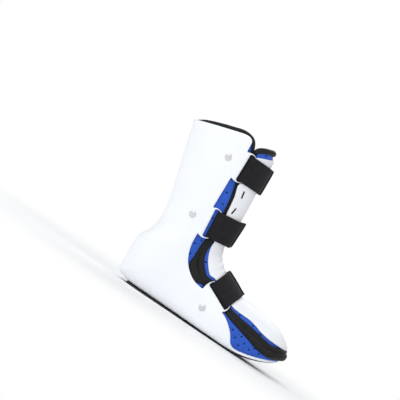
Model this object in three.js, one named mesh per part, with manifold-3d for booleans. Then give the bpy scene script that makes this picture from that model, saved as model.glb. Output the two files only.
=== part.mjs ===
// Ankle rehabilitation boot for the right foot: a stiff moulded shell with slotted strap tabs, a perforated
// foam liner with a rolled edge, a padded tongue under a smooth cover plate, riveted straps, a thin outsole.
// X runs from heel to toe, Y to the inner side of the foot, Z up from the floor. Millimetres.
import * as THREE from "three";
import { mergeVertices } from "three/addons/utils/BufferGeometryUtils.js";
import Module from "manifold-3d";

const wasm = await Module();
wasm.setup();

// Driving dimensions
const GAP = 0.3; // clearance between pieces that lie on each other
const ROLL_GAP = 0.8; // clearance beside an edge roll
const SHELL_WALL = 3;
const LINER_WALL = 6;
const PLATE_WALL = 2;
const STRAP_WIDTH = 38;
const STRAP_THICK = 1.8;
const OUTSOLE_THICK = 2;
const SOLE_STRIP = 3.05; // height of the shell's foot plate that shows beside the toes
const FOOT_TIP = 258.5; // front of the liner
const SHELL_TIP = 251.5; // front of the shell's foot plate
const TONGUE_TIP = 252.5; // front of the tongue
const TOE_START = 195; // where the toe begins to round in
const TOE_POWER = 2.4;
const SPRING_START = 175; // where the sole begins to rise to the toe
const SPRING_RATE = 1 / 286;
const SIDE_STEPS = 10; // facets from the back of a section to its front
const INSIDE_STEPS = 7; // the same on the inside of the liner and tongue
const SLOT_WIDE = 7.6;
const SLOT_PLAY = 0.4; // room at each end of a strap in its slot
const SLOT_BOW = 2.2; // control point of a slot's bowed end past its corners
const TAB_BAR = 2.4; // bar in front of a slot
const TAB_BOW = 5; // control point of a tab's bowed end past its corners
const RIVET_BACK = 28; // rivet behind the middle of its slot
const RIVET_HOLE = 2.2;
const STRAP_TAIL = 6; // strap left behind its rivet
const POCKET_PLAY = 3;
const POCKET_DEPTH = 8.3; // liner pressed in under a strap end
const PERFORATION = 1.1; // radius
const FAR = 400;

const SHELL_INSIDE = SHELL_WALL;
const LINER_OUTSIDE = SHELL_WALL + GAP;
const LINER_INSIDE = LINER_OUTSIDE + LINER_WALL;
const PAD_OUTSIDE = PLATE_WALL + GAP;
const SHELL_BOTTOM = OUTSOLE_THICK + GAP;

const table = (columns, ...rows) =>
  rows.map((row) => Object.fromEntries(columns.map((column, i) => [column, row[i]])));

// Sections of the boot. Each lies in a plane across the side view, from its back or sole point to its front point.
// half: half width, shift: to the inner side, wide: where it is widest, powers: how square back and front are.
const FORM = table(
  ["backX", "backZ", "frontX", "frontZ", "half", "shift", "wide", "backPower", "frontPower"],
  [195, 3.7, 195, 67.6, 47.5, 6, 0.33, 9, 2.1],
  [178, 2.33, 181, 69.4, 49.3, 5.2, 0.33, 8.5, 2.1],
  [156, 2.3, 170.5, 69.6, 49, 4.2, 0.34, 7.4, 2.05],
  [132.5, 2.3, 160.5, 70.2, 46.8, 3, 0.36, 6.4, 2],
  [112, 2.3, 143, 78.2, 44.2, 2, 0.38, 5.6, 2],
  [91.5, 2.3, 125.5, 86.2, 42, 1.2, 0.42, 5, 2],
  [68, 2.3, 121, 89, 40.6, 0.6, 0.45, 4.5, 2],
  [45, 2.4, 117, 92.2, 39.8, 0.2, 0.47, 4.2, 2],
  [25, 2.8, 113.6, 95.2, 39.5, 0, 0.48, 3.6, 2],
  [10.5, 5.4, 111, 98, 39.5, 0, 0.49, 3, 2],
  [1, 10.6, 109.2, 100.6, 39.5, 0, 0.5, 2.6, 2],
  [-0.4, 22, 107.9, 103, 39.5, 0, 0.5, 2.4, 2],
  [-1.4, 34, 107, 105.2, 39.6, 0, 0.5, 2.3, 2],
  [-2.5, 47, 106.2, 107.2, 39.7, 0, 0.5, 2.2, 2.05],
  [-2.2, 59, 105.6, 108.9, 39.8, 0, 0.5, 2.2, 2.05],
  [0.2, 68.5, 105.1, 110.3, 39.9, 0, 0.5, 2.2, 2.1],
  [5.2, 77, 104.7, 111.6, 40, 0, 0.5, 2.15, 2.1],
  [8.4, 88, 104.4, 113, 40.2, 0, 0.5, 2.1, 2.1],
  [9.6, 103.5, 104, 114.7, 40.6, 0, 0.5, 2.1, 2.15],
  [6.5, 122, 103.9, 133.6, 41.8, 0, 0.5, 2.1, 2.15],
  [1.2, 141.7, 103.4, 153.8, 43.6, 0, 0.5, 2.1, 2.15],
  [-5.5, 164, 102.4, 172, 46, 0, 0.5, 2.1, 2.15],
  [-12, 185, 100.8, 188, 48.4, 0, 0.5, 2.1, 2.15],
  [-15.8, 197.5, 99.6, 199, 49.8, 0, 0.5, 2.1, 2.15],
  [-21.5, 217, 98.4, 218, 51.8, 0, 0.5, 2.1, 2.15],
  [-26.6, 236, 97, 236.5, 53.4, 0, 0.5, 2.1, 2.15],
  [-28.5, 255, 94.5, 255, 54.6, 0, 0.5, 2.1, 2.15],
  [-29.5, 275, 90, 275, 55.6, 0, 0.5, 2.1, 2.15],
);
const TOE_STEPS = [1, 0.97, 0.9, 0.78, 0.6, 0.34];
const TOE_TOP = table(
  ["x", "z"],
  [195, 67.6], [207, 66], [217, 64.6], [226, 62.8], [233, 60.4], [237, 57.2],
  [240, 54.2], [246.6, 51], [250.6, 48.4], [254, 45], [258.5, 40],
);

// Straps: the two ends of each slot's back edge in the side view, how far the tab reaches behind the slot at its top
// and low end, how far the strap stands off at the front
const STRAPS = table(
  ["name", "topX", "topZ", "lowX", "lowZ", "behindTop", "behindLow", "lift"],
  ["upper", 63.2, 235.5, 64.9, 197.5, 6, 6.6, 2.2],
  ["middle", 64.8, 148.7, 69.3, 110.9, 4, 6.6, 4.2],
  ["lower", 114.8, 59.5, 149.3, 43.5, 10, 4, 1.8],
);
const LIFT_START = 0.3; // shares of the way from the slot to the front over which a strap lifts off
const LIFT_END = 0.95;
// Strap through its slot: distance ahead of the slot's middle, depth below the boot's outside
const SLOT_RUN = table(
  ["ahead", "depth"],
  [-RIVET_BACK - STRAP_TAIL, 5.4], [-RIVET_BACK, 5.4], [-20, 5.4], [-12, 5.4], [-5.5, 5.4], [-3, 5.4], [-1.5, 4.4],
  [0.6, 1.8], [2.8, -0.8], [4.3, -1.55], [6.6, -1.6],
);
const LAYER_UNDER = -1.6;
const LAYER_OVER = -4.1;

// Edge rolls, from the toe's middle up to the top: side view place, depth of the middle, radius, half width where flat
const LINER_ROLL = table(
  ["x", "z", "depth", "radius", "wide"],
  [249, 28.5, 5, 4.3], [238, 24.9, 4.6, 4], [226, 25, 4.9, 3.9], [214, 26.6, 5.4, 3.9], [193, 31.4, 6.8, 3.8],
  [176, 34.9, 7.1, 3.6], [158, 40, 7.6, 3.2], [147, 43.5, 10, 2.8], [131, 48.5, 10.2, 2.8], [115, 53.5, 10, 2.8],
  [106.5, 57.2, 8.8, 3.2, 3.8], [99.3, 58.8, 8.2, 3.6, 5.2], [91, 63.2, 8, 4, 5.4], [83.9, 72.2, 7.8, 4, 4.8],
  [79.6, 82, 7.4, 3.6, 3.7], [78.2, 93, 7, 3.2],
  [78.2, 105, 6.9, 3], [79.5, 128, 7.4, 2.8], [78.9, 148, 7.2, 2.8], [77, 163, 6.7, 2.8], [75.4, 174, 6.7, 2.9],
  [72, 186, 7.2, 2.9], [68.5, 199, 9.5, 2.8], [66.5, 218, 9.8, 2.8], [64.2, 235, 9.2, 2.8], [60.6, 245.5, 7.2, 3],
  [55, 253.6, 7, 3], [42, 256, 7, 3], [20, 250, 7, 3], [-4, 242.4, 7, 3], [-18, 237, 6.9, 2.8],
);
const LINER_TOE = { x: FOOT_TIP, z: 31.8, depth: 5, radius: 4.4 };
const LINER_BACK = { z: 233.6, depth: 6.9, radius: 2.8 };
const TONGUE_ROLL = table(
  ["x", "z", "depth", "radius"],
  [246, 36.4, 1.8, 3.5], [238, 32.9, 3.2, 3.7], [226, 33.2, 4.3, 3.8], [214, 34.8, 4.6, 3.8], [193, 39.4, 5.8, 3.7],
  [176, 42.6, 6.6, 3.5], [158, 47.3, 7, 3], [149, 51.5, 7.2, 2.8], [135, 58.2, 7.2, 2.8], [121, 65.2, 7.2, 2.8],
  [112.5, 66.2, 7.2, 2.9], [105.2, 65.6, 7.2, 3.4], [98.6, 69.4, 7, 3.9], [92, 76.4, 6.8, 3.9], [86.6, 85.6, 6.7, 3.5],
  [84.4, 95.6, 6.5, 3.2], [84.6, 106, 6.4, 3], [86, 128, 6.4, 2.8], [85.4, 148, 6.4, 2.8], [83.6, 163, 6, 2.8],
  [82, 174, 6, 2.8], [79, 186, 6.4, 2.8], [76.5, 199, 7, 2.8], [74.5, 218, 7.2, 2.8], [72, 233, 7.2, 2.8],
  [69.6, 241.4, 6.9, 3.2], [73, 248, 5.8, 3.5], [80, 252.4, 5.4, 3.6], [87, 254.4, 5.2, 3.5],
);
const TONGUE_TOE = { x: TONGUE_TIP, z: 39, depth: 1.2, radius: 3.5 };
const TONGUE_TOP = { z: 254.6, depth: 5.2, radius: 3.4 };
const ROLL_SIDES = 6;

// Free edges in the side view
const TOP_BACK = new THREE.Vector2(-60, 224.4);
const TOP_FRONT = new THREE.Vector2(40, 255);
const TOP_ROUND = new THREE.Vector2(57.5, 259.4);
const FRONT_TOP = new THREE.Vector2(56.3, 245);
const ANKLE_EDGE = table(
  ["x", "z"],
  [64.6, 92], [68.6, 79.2], [75.2, 68], [86.7, 57.7], [97, 52.8],
);
const TOE_EDGE = table(
  ["x", "z"],
  [158, 35.2], [168.2, 27.4], [174.1, 21.6], [178.6, 14.8], [181.5, 10.4], [187, 7],
);
const PLATE_EDGE = table(
  ["x", "z"],
  [76.6, 236], [77.2, 222], [77.2, 200], [74.8, 191], [77.2, 178], [79.4, 164], [81.2, 151.5], [88.6, 112], [88.8, 103], [94, 88.8],
  [103.4, 76], [109, 71.6], [116, 71.4], [126, 67.2], [152, 54.6], [162, 52.2], [187.5, 51], [197, 49],
  [212, 44.4], [227, 41.4], [243, 41.6],
);
const PLATE_TOE = { x: 256, z: 43.6 };
const PLATE_TOP = table(["x", "z"], [74, 241], [85, 245.6], [93.4, 247.8], [120, 251]);
const SLITS = table(
  ["topX", "topZ", "lowX", "lowZ"],
  [83.4, 190.8, 85.6, 180.2], [87, 165.8, 85.8, 155.5],
);
const PERFORATIONS = table(
  ["x", "z"],
  [175.8, 26.2], [189.4, 24.2], [183.6, 18.6], [198.2, 19.6], [193.5, 13.2], [208.2, 17],
  [67.7, 96], [72.6, 104.2], [69.9, 81], [65.4, 176], [69.6, 160.4],
);
const SOLE = table(
  ["x", "half", "shift", "thick"],
  [19, 14, 0, 2], [22, 20, 0, 2], [30, 25, 0, 2], [45, 27.5, 0.2, 2], [91, 31, 1.2, 2], [132, 37, 3, 2],
  [160, 40, 4.3, 2], [180, 40.5, 5.2, 2], [198, 38.5, 6, 1.8], [216, 34, 7, 1.5], [230, 27.5, 7.8, 1.2],
  [240, 20, 8.3, 1], [246, 12, 8.6, 0.9], [248.5, 5, 8.7, 0.9],
);

// Boot form

const spring = (x) => (x > SPRING_START ? (x - SPRING_START) ** 2 * SPRING_RATE : 0);

function lookUp(rows, x) {
  const last = rows.length - 1;
  let i = 0;
  while (i < last - 1 && rows[i + 1].x < x) i += 1;
  const part = (x - rows[i].x) / (rows[i + 1].x - rows[i].x);
  return rows[i].z + (rows[i + 1].z - rows[i].z) * part;
}

function toeRow(part, depth, tip) {
  const x = TOE_START + part * (tip - depth - TOE_START);
  return {
    ...FORM[0],
    backX: x,
    backZ: SHELL_BOTTOM + spring(x),
    frontX: x,
    frontZ: lookUp(TOE_TOP, x),
    half: (FORM[0].half - depth) * (1 - part ** TOE_POWER) ** (1 / TOE_POWER) + depth,
    shift: FORM[0].shift + 3 * part,
  };
}

const ROW_COUNT = TOE_STEPS.length + FORM.length;
// Places of the rings that the walls are faceted through
const RINGS = [0, 1, 2, 3, 4, 5, 6, 7, 9, 11, 13, 14, 15, 16, 18, 20, 21, 22, 24, 26, 28, 31, 33];
const INSIDE_RINGS = [0, 2, 3, 4, 6, 9, 12, 14, 16, 19, 22, 24, 28, 33];

function formRow(i, depth, tip) {
  const row = Math.min(Math.max(i, 0), ROW_COUNT - 1);
  return row < TOE_STEPS.length ? toeRow(TOE_STEPS[row], depth, tip) : FORM[row - TOE_STEPS.length];
}

// Section at a place between rows, moved in by a depth
function section(place, depth, tip) {
  const i = Math.min(Math.floor(place), ROW_COUNT - 2);
  const part = place - i;
  const rows = [-1, 0, 1, 2].map((step) => formRow(i + step, depth, tip));
  const mix = (column) => {
    const [a, b, c, d] = rows.map((row) => row[column]);
    const bend = 2 * a - 5 * b + 4 * c - d + (3 * b - a - 3 * c + d) * part;
    return b + 0.5 * part * (c - a + part * bend);
  };
  const back = new THREE.Vector2(mix("backX"), mix("backZ"));
  const front = new THREE.Vector2(mix("frontX"), mix("frontZ"));
  const inward = front.clone().sub(back).normalize().multiplyScalar(depth);
  back.add(inward);
  front.sub(inward);
  const half = Math.max(mix("half") - depth, 0);
  const [shift, wide] = [mix("shift"), mix("wide")];
  return { back, front, half, shift, wide, backPower: mix("backPower"), frontPower: mix("frontPower") };
}

// Point of a section; turn runs from 0 at its back to PI at its front, side is -1 outside and 1 inside the foot
function sectionPoint(cut, turn, side) {
  const atBack = turn <= Math.PI / 2;
  const power = 2 / (atBack ? cut.backPower : cut.frontPower);
  const reach = Math.abs(Math.cos(turn)) ** power;
  const part = atBack ? cut.wide * (1 - reach) : cut.wide + (1 - cut.wide) * reach;
  const across = cut.half * Math.max(Math.sin(turn), 0) ** power;
  const spot = cut.back.clone().lerp(cut.front, part);
  return new THREE.Vector3(spot.x, cut.shift + side * across, spot.y);
}

// Place and turn of a point of the side view that lies at a depth
function locate(x, z, tip = FOOT_TIP, depth = 0) {
  const spot = new THREE.Vector2(x, z);
  const beyond = (place) => {
    const cut = section(place, 0, tip);
    return cut.front.clone().sub(cut.back).cross(spot.clone().sub(cut.back));
  };
  let low = 0;
  let high = ROW_COUNT - 1;
  for (let step = 0; step < 44; step += 1) {
    const middle = (low + high) / 2;
    if (beyond(middle) > 0) low = middle;
    else high = middle;
  }
  const cut = section(low, depth, tip);
  const line = cut.front.clone().sub(cut.back);
  const part = THREE.MathUtils.clamp(spot.sub(cut.back).dot(line) / line.lengthSq(), 0, 1);
  if (part <= cut.wide) {
    return { place: low, turn: Math.acos((1 - part / cut.wide) ** (cut.backPower / 2)) };
  }
  const ahead = (part - cut.wide) / (1 - cut.wide);
  return { place: low, turn: Math.PI - Math.acos(ahead ** (cut.frontPower / 2)) };
}

function onBoot(x, z, side, depth, tip) {
  const spot = locate(x, z, tip, depth);
  return sectionPoint(section(spot.place, depth, tip), spot.turn, side);
}

// Solids

function closedGeometry(points, triangles) {
  const geometry = new THREE.BufferGeometry().setFromPoints(points);
  let volume = 0;
  for (const [a, b, c] of triangles) volume += points[a].dot(points[b].clone().cross(points[c]));
  const ordered = volume < 0 ? triangles.map(([a, b, c]) => [a, c, b]) : triangles;
  geometry.setIndex(ordered.flat());
  return geometry;
}

// Skin over rings of equal length; a loop joins its last ring to its first, otherwise both ends are capped
function skin(rings, loop = false) {
  const width = rings[0].length;
  const points = rings.flat();
  const triangles = [];
  const last = loop ? rings.length : rings.length - 1;
  for (let i = 0; i < last; i += 1) {
    const here = i * width;
    const next = ((i + 1) % rings.length) * width;
    for (let j = 0; j < width; j += 1) {
      const k = (j + 1) % width;
      triangles.push([here + j, next + j, next + k], [here + j, next + k, here + k]);
    }
  }
  if (!loop) {
    for (const [ring, start, turned] of [[rings[0], 0, true], [rings.at(-1), points.length - width, false]]) {
      const middle = points.length;
      points.push(ring.reduce((sum, point) => sum.add(point), new THREE.Vector3()).divideScalar(width));
      for (let j = 0; j < width; j += 1) {
        const [a, b] = [start + j, start + ((j + 1) % width)];
        triangles.push(turned ? [middle, a, b] : [middle, b, a]);
      }
    }
  }
  return closedGeometry(points, triangles);
}

function solid(geometry) {
  geometry.deleteAttribute("normal");
  geometry.deleteAttribute("uv");
  const merged = mergeVertices(geometry, 1e-4);
  const index = [...merged.index.array];
  const kept = [];
  for (let i = 0; i < index.length; i += 3) {
    const [a, b, c] = index.slice(i, i + 3);
    if (a !== b && b !== c && c !== a) kept.push(a, b, c);
  }
  const vertProperties = new Float32Array(merged.attributes.position.array);
  return new wasm.Manifold(new wasm.Mesh({ numProp: 3, vertProperties, triVerts: new Uint32Array(kept) }));
}

function piece(name, body, material) {
  const { vertProperties, triVerts } = body.getMesh();
  const geometry = new THREE.BufferGeometry();
  geometry.setAttribute("position", new THREE.BufferAttribute(vertProperties, 3));
  geometry.setIndex(new THREE.BufferAttribute(triVerts, 1));
  geometry.computeVertexNormals();
  const mesh = new THREE.Mesh(geometry, material);
  mesh.name = name;
  return mesh;
}

function formRing(place, depth, tip, steps) {
  const cut = section(place, depth, tip);
  const turns = Array.from({ length: steps + 1 }, (_, i) => (i * Math.PI) / steps);
  const outer = turns.map((turn) => sectionPoint(cut, turn, -1));
  const inner = turns.slice(1, -1).reverse().map((turn) => sectionPoint(cut, turn, 1));
  return [...outer, ...inner];
}

const form = (depth, tip = FOOT_TIP) =>
  solid(skin(RINGS.map((place) => formRing(place, depth, tip, SIDE_STEPS))));
const inside = (tip = FOOT_TIP) =>
  solid(skin(INSIDE_RINGS.map((place) => formRing(place, LINER_INSIDE, tip, INSIDE_STEPS))));

function mainBody(body) {
  const bodies = body.decompose();
  return bodies.reduce((most, next) => (next.volume() > most.volume() ? next : most));
}

// Side view outline carried straight across the boot
function across(shape, curveSegments = 2) {
  const block = new THREE.ExtrudeGeometry(shape, { depth: 2 * FAR, bevelEnabled: false, curveSegments });
  return solid(block.rotateX(Math.PI / 2).translate(0, FAR, 0));
}

const flat = (row) => new THREE.Vector2(row.x, row.z);

// Straps and their tabs

function slotFrame(strap) {
  const top = new THREE.Vector2(strap.topX, strap.topZ);
  const low = new THREE.Vector2(strap.lowX, strap.lowZ);
  const along = low.clone().sub(top).normalize();
  const ahead = new THREE.Vector2(-along.y, along.x);
  const middle = top.clone().add(low).multiplyScalar(0.5);
  const at = (down, forward) =>
    middle.clone().addScaledVector(along, down).addScaledVector(ahead, forward);
  return { at };
}

// Tab with bowed ends, from its top corner round the front to its low corner
function drawTab(shape, strap) {
  const { at } = slotFrame(strap);
  const end = STRAP_WIDTH / 2 + SLOT_PLAY;
  const front = SLOT_WIDE + TAB_BAR;
  const to = (down, forward) => at(down, forward).toArray();
  shape.lineTo(...to(-end, -strap.behindTop));
  shape.quadraticCurveTo(...to(-end - TAB_BOW, 1), ...to(-end, front));
  shape.lineTo(...to(end, front));
  shape.quadraticCurveTo(...to(end + TAB_BOW, 1), ...to(end, -strap.behindLow));
}

function slotCut(strap) {
  const { at } = slotFrame(strap);
  const end = STRAP_WIDTH / 2 + SLOT_PLAY;
  const to = (down, forward) => at(down, forward).toArray();
  const shape = new THREE.Shape().moveTo(...to(-end, 0));
  shape.quadraticCurveTo(...to(-end - SLOT_BOW, SLOT_WIDE / 2), ...to(-end, SLOT_WIDE));
  shape.lineTo(...to(end, SLOT_WIDE));
  shape.quadraticCurveTo(...to(end + SLOT_BOW, SLOT_WIDE / 2), ...to(end, 0));
  return across(shape);
}

function pocketCut(strap) {
  const { at } = slotFrame(strap);
  const end = STRAP_WIDTH / 2 + POCKET_PLAY;
  const back = -RIVET_BACK - STRAP_TAIL - 2;
  const corners = [[-end, back], [-end, 9], [end, 9], [end, back]];
  return across(new THREE.Shape(corners.map(([down, forward]) => at(down, forward))));
}

// Way round a section from its back on one side, over the front and down the other side
function sectionWay(place, tip) {
  const cut = section(place, 0, tip);
  const steps = 96;
  const turns = Array.from({ length: steps + 1 }, (_, i) => (i * Math.PI) / steps);
  const points = turns.map((turn) => sectionPoint(cut, turn, 1));
  const lengths = [0];
  for (let i = 1; i <= steps; i += 1) lengths.push(lengths[i - 1] + points[i].distanceTo(points[i - 1]));
  const front = lengths[steps];
  const turnAt = (length) => {
    let i = 0;
    while (i < steps - 1 && lengths[i + 1] < length) i += 1;
    return turns[i] + ((length - lengths[i]) / (lengths[i + 1] - lengths[i])) * (turns[1] - turns[0]);
  };
  const lengthAt = (turn) => {
    const i = Math.min(Math.floor((turn / Math.PI) * steps), steps - 1);
    return lengths[i] + ((turn - turns[i]) / (turns[1] - turns[0])) * (lengths[i + 1] - lengths[i]);
  };
  const point = (length, depth, side) => {
    const past = length > front;
    const turn = turnAt(past ? 2 * front - length : length);
    return sectionPoint(section(place, depth, tip), turn, past ? -side : side);
  };
  return { place, front, turnAt, lengthAt, point };
}

// Lines along a strap at shares of its half width
function strapLines(strap, edges) {
  const { at } = slotFrame(strap);
  return edges.map((edge) => {
    const spot = at((edge * STRAP_WIDTH) / 2, SLOT_WIDE / 2);
    const { place, turn } = locate(spot.x, spot.y);
    const way = sectionWay(place, FOOT_TIP);
    const slot = way.lengthAt(turn);
    return { ...way, slot, reach: way.front - slot };
  });
}

// Strap stations between the slot and the free end: share of the way to the front, extra length, depth
function strapRun(over) {
  const stations = SLOT_RUN.map(({ ahead, depth }) => ({ share: 0, extra: ahead, depth }));
  const add = (share, extra, depth) => stations.push({ share, extra, depth });
  if (over) {
    for (let i = 1; i <= 4; i += 1) add(i * 0.1, 6 - i * 0.6, LAYER_UNDER);
    add(0.52, 2, LAYER_UNDER - 0.7);
    add(0.62, 1, LAYER_OVER + 0.5);
    for (let i = 0; i <= 5; i += 1) add(0.7 + i * 0.06, 0, LAYER_OVER);
    add(1, 4, LAYER_OVER);
    add(1, 9, LAYER_OVER);
  } else {
    for (let i = 1; i <= 9; i += 1) add(i * 0.1, 6 - i * 0.6, LAYER_UNDER);
    for (let i = 0; i <= 3; i += 1) add(1, i * 5.5, LAYER_UNDER);
  }
  return stations;
}

// How far a strap has lifted off at a share of the way to the front, the same on both sides of it
const liftShare = (share) => THREE.MathUtils.smoothstep(Math.min(share, 2 - share), LIFT_START, LIFT_END);

function strapBody(strap, side, over) {
  const lines = strapLines(strap, [-1, 1]);
  const stations = strapRun(over);
  const rings = stations.map((station, i) => {
    const before = stations[Math.max(i - 1, 0)];
    const after = stations[Math.min(i + 1, stations.length - 1)];
    const rows = lines.map((line) => {
      const length = (spot) => line.slot + spot.share * line.reach + spot.extra;
      const depth = (spot) => spot.depth - strap.lift * liftShare((length(spot) - line.slot) / line.reach);
      const run = new THREE.Vector2(length(after) - length(before), depth(after) - depth(before)).normalize();
      const [ahead, rise] = [-run.y * (STRAP_THICK / 2), run.x * (STRAP_THICK / 2)];
      const lower = line.point(length(station) + ahead, depth(station) + rise, side);
      const upper = line.point(length(station) - ahead, depth(station) - rise, side);
      return { lower, upper };
    });
    return [...rows.map((row) => row.upper), ...rows.map((row) => row.lower).reverse()];
  });
  return solid(skin(rings));
}

function outward(place, turn, side) {
  const at = (up, round) => sectionPoint(section(place + up, 0, FOOT_TIP), turn + round, side);
  const up = at(0.1, 0).sub(at(-0.1, 0));
  const round = at(0, 0.05).sub(at(0, -0.05));
  return up.cross(round).multiplyScalar(side).normalize();
}

function rivetFrame(strap, side) {
  const [line] = strapLines(strap, [0]);
  const turn = line.turnAt(line.slot - RIVET_BACK);
  const seat = line.point(line.slot - RIVET_BACK, 0, side);
  const out = outward(line.place, turn, side);
  const turned = new THREE.Quaternion().setFromUnitVectors(new THREE.Vector3(0, 1, 0), out);
  return new THREE.Matrix4().compose(seat, turned, new THREE.Vector3(1, 1, 1));
}

function rivetBody(strap, side) {
  const profile = table(
    ["radius", "height"],
    [0, -7.9], [3.5, -7.9], [3.5, -7.3], [1.8, -7.3], [1.8, 0.3], [4.5, 0.3], [4.1, 1.2], [2.5, 1.9], [0, 2.1],
  );
  const outline = profile.map((row) => new THREE.Vector2(row.radius, row.height));
  return solid(new THREE.LatheGeometry(outline, 8).applyMatrix4(rivetFrame(strap, side)));
}

function rivetHole(strap, side) {
  const drill = new THREE.CylinderGeometry(RIVET_HOLE, RIVET_HOLE, 14, 8);
  return solid(drill.applyMatrix4(rivetFrame(strap, side)));
}

// Edge rolls

// Ring of a roll at each row, turned with the boot's surface
function rollBody(rows, start, end, tip, extra) {
  const spot = (row, side) => {
    const point = onBoot(row.x, row.z, side, row.depth, tip);
    const out = onBoot(row.x, row.z, side, row.depth - 1, tip).sub(point).normalize();
    return { point, out, radius: row.radius, wide: row.wide };
  };
  const outer = rows.map((row) => spot(row, -1));
  const inner = rows.map((row) => spot(row, 1)).reverse();
  const spots = [start, ...outer, end, ...inner];
  const rings = spots.map(({ point, out, radius, wide = radius }, i) => {
    const before = spots.at(i - 1).point;
    const after = spots[(i + 1) % spots.length].point;
    const run = after.clone().sub(before).normalize();
    const aside = run.clone().cross(out).normalize();
    const up = aside.clone().cross(run);
    return Array.from({ length: ROLL_SIDES }, (_, j) => {
      const turn = ((j + 0.5) * 2 * Math.PI) / ROLL_SIDES;
      return point.clone()
        .addScaledVector(up, (radius + extra) * Math.cos(turn))
        .addScaledVector(aside, (wide + extra) * Math.sin(turn));
    });
  });
  return solid(skin(rings, true));
}

function toePoint(toe, tip) {
  const shift = toeRow(1, 0, tip).shift;
  const point = new THREE.Vector3(toe.x - toe.depth, shift, toe.z);
  return { point, out: new THREE.Vector3(1, 0, 0), radius: toe.radius };
}

function ridgePoint(ridge, turn) {
  let [low, high] = [TOE_STEPS.length + 19, ROW_COUNT - 1];
  const height = (place) => sectionPoint(section(place, 0, FOOT_TIP), turn, 1).z;
  for (let step = 0; step < 40; step += 1) {
    const middle = (low + high) / 2;
    if (height(middle) < ridge.z) low = middle;
    else high = middle;
  }
  const point = sectionPoint(section(low, ridge.depth, FOOT_TIP), turn, 1);
  const out = new THREE.Vector3(turn ? 1 : -1, 0, 0);
  return { point, out, radius: ridge.radius };
}

const linerRoll = (extra) =>
  rollBody(LINER_ROLL, toePoint(LINER_TOE, FOOT_TIP), ridgePoint(LINER_BACK, 0), FOOT_TIP, extra);
const tongueRoll = (extra) =>
  rollBody(TONGUE_ROLL, toePoint(TONGUE_TOE, TONGUE_TIP), ridgePoint(TONGUE_TOP, Math.PI), TONGUE_TIP, extra);

// Walls

// Rows of a roll moved aside in the side view by its radius and a clearance; way is 1 to the tongue, -1 to the liner
function besideRoll(rows, way) {
  return rows.map((row, i) => {
    const before = flat(rows[Math.max(i - 1, 0)]);
    const after = flat(rows[Math.min(i + 1, rows.length - 1)]);
    const run = after.sub(before).normalize();
    const far = way * ((row.wide ?? row.radius) + ROLL_GAP);
    return { x: row.x + run.y * far, z: row.z - run.x * far };
  });
}

function shellOutline() {
  const [upper, middle, lower] = STRAPS;
  const shape = new THREE.Shape();
  shape.moveTo(-FAR, -FAR);
  shape.lineTo(-FAR, TOP_BACK.y);
  shape.lineTo(TOP_BACK.x, TOP_BACK.y);
  shape.lineTo(TOP_FRONT.x, TOP_FRONT.y);
  shape.quadraticCurveTo(TOP_ROUND.x, TOP_ROUND.y, FRONT_TOP.x, FRONT_TOP.y);
  drawTab(shape, upper);
  drawTab(shape, middle);
  shape.splineThru(ANKLE_EDGE.map(flat));
  drawTab(shape, lower);
  shape.splineThru(TOE_EDGE.map(flat));
  for (let x = 193; x <= FOOT_TIP + 4; x += 9) shape.lineTo(x, SHELL_BOTTOM + spring(x) + SOLE_STRIP);
  shape.lineTo(FAR, -FAR);
  return shape;
}

function linerOutline() {
  const shape = new THREE.Shape();
  shape.moveTo(-FAR, -FAR);
  shape.lineTo(-FAR, LINER_BACK.z - LINER_BACK.radius - 9);
  shape.lineTo(-40, LINER_BACK.z - LINER_BACK.radius - 6);
  const rows = besideRoll(LINER_ROLL, -1).reverse();
  rows.filter((row) => row.x < 240).forEach((row) => shape.lineTo(row.x, Math.max(row.z, floorTop(row.x))));
  shape.lineTo(FOOT_TIP, floorTop(FOOT_TIP));
  shape.lineTo(FAR, -FAR);
  return shape;
}

// Top of the liner's floor along the toes
const floorTop = (x) => (x > 200 ? SHELL_BOTTOM + spring(x) + LINER_INSIDE + 0.4 : 0);

function tongueOutline(rows, toe, top) {
  const shape = new THREE.Shape();
  shape.moveTo(FAR, toe.z);
  shape.lineTo(toe.x, toe.z);
  rows.forEach((row) => shape.lineTo(row.x, row.z));
  top.forEach((row) => shape.lineTo(row.x, row.z));
  shape.lineTo(FAR, top.at(-1).z);
  return shape;
}

function slitCut(slit) {
  const top = new THREE.Vector2(slit.topX, slit.topZ);
  const low = new THREE.Vector2(slit.lowX, slit.lowZ);
  const aside = new THREE.Vector2(1, 0);
  const corners = [top, top.clone().add(aside), low.clone().add(aside), low, low.clone().sub(aside), top.clone().sub(aside)];
  return across(new THREE.Shape(corners));
}

function perforationCut(hole) {
  const shape = new THREE.Shape().absarc(hole.x, hole.z, PERFORATION, 0, 2 * Math.PI);
  return across(shape, 3);
}

function shellBody() {
  let body = form(0, SHELL_TIP).subtract(form(SHELL_INSIDE, SHELL_TIP)).intersect(across(shellOutline()));
  for (const strap of STRAPS) {
    body = body.subtract(slotCut(strap));
    for (const side of [-1, 1]) body = body.subtract(rivetHole(strap, side));
  }
  return body;
}

function linerBody() {
  let body = form(LINER_OUTSIDE).subtract(inside()).intersect(across(linerOutline()));
  const pressed = form(POCKET_DEPTH);
  for (const strap of STRAPS) body = body.subtract(pocketCut(strap).subtract(pressed));
  body = body.subtract(linerRoll(GAP));
  for (const hole of PERFORATIONS) body = body.subtract(perforationCut(hole));
  return mainBody(body);
}

function padBody() {
  const rows = besideRoll(TONGUE_ROLL, 1);
  const toe = { x: TONGUE_TOE.x, z: TONGUE_TOE.z + TONGUE_TOE.radius + ROLL_GAP };
  const top = [{ x: 97, z: TONGUE_TOP.z - TONGUE_TOP.radius - ROLL_GAP }];
  const outline = across(tongueOutline(rows, toe, top));
  return form(PAD_OUTSIDE, TONGUE_TIP).subtract(inside(TONGUE_TIP)).intersect(outline);
}

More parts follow.
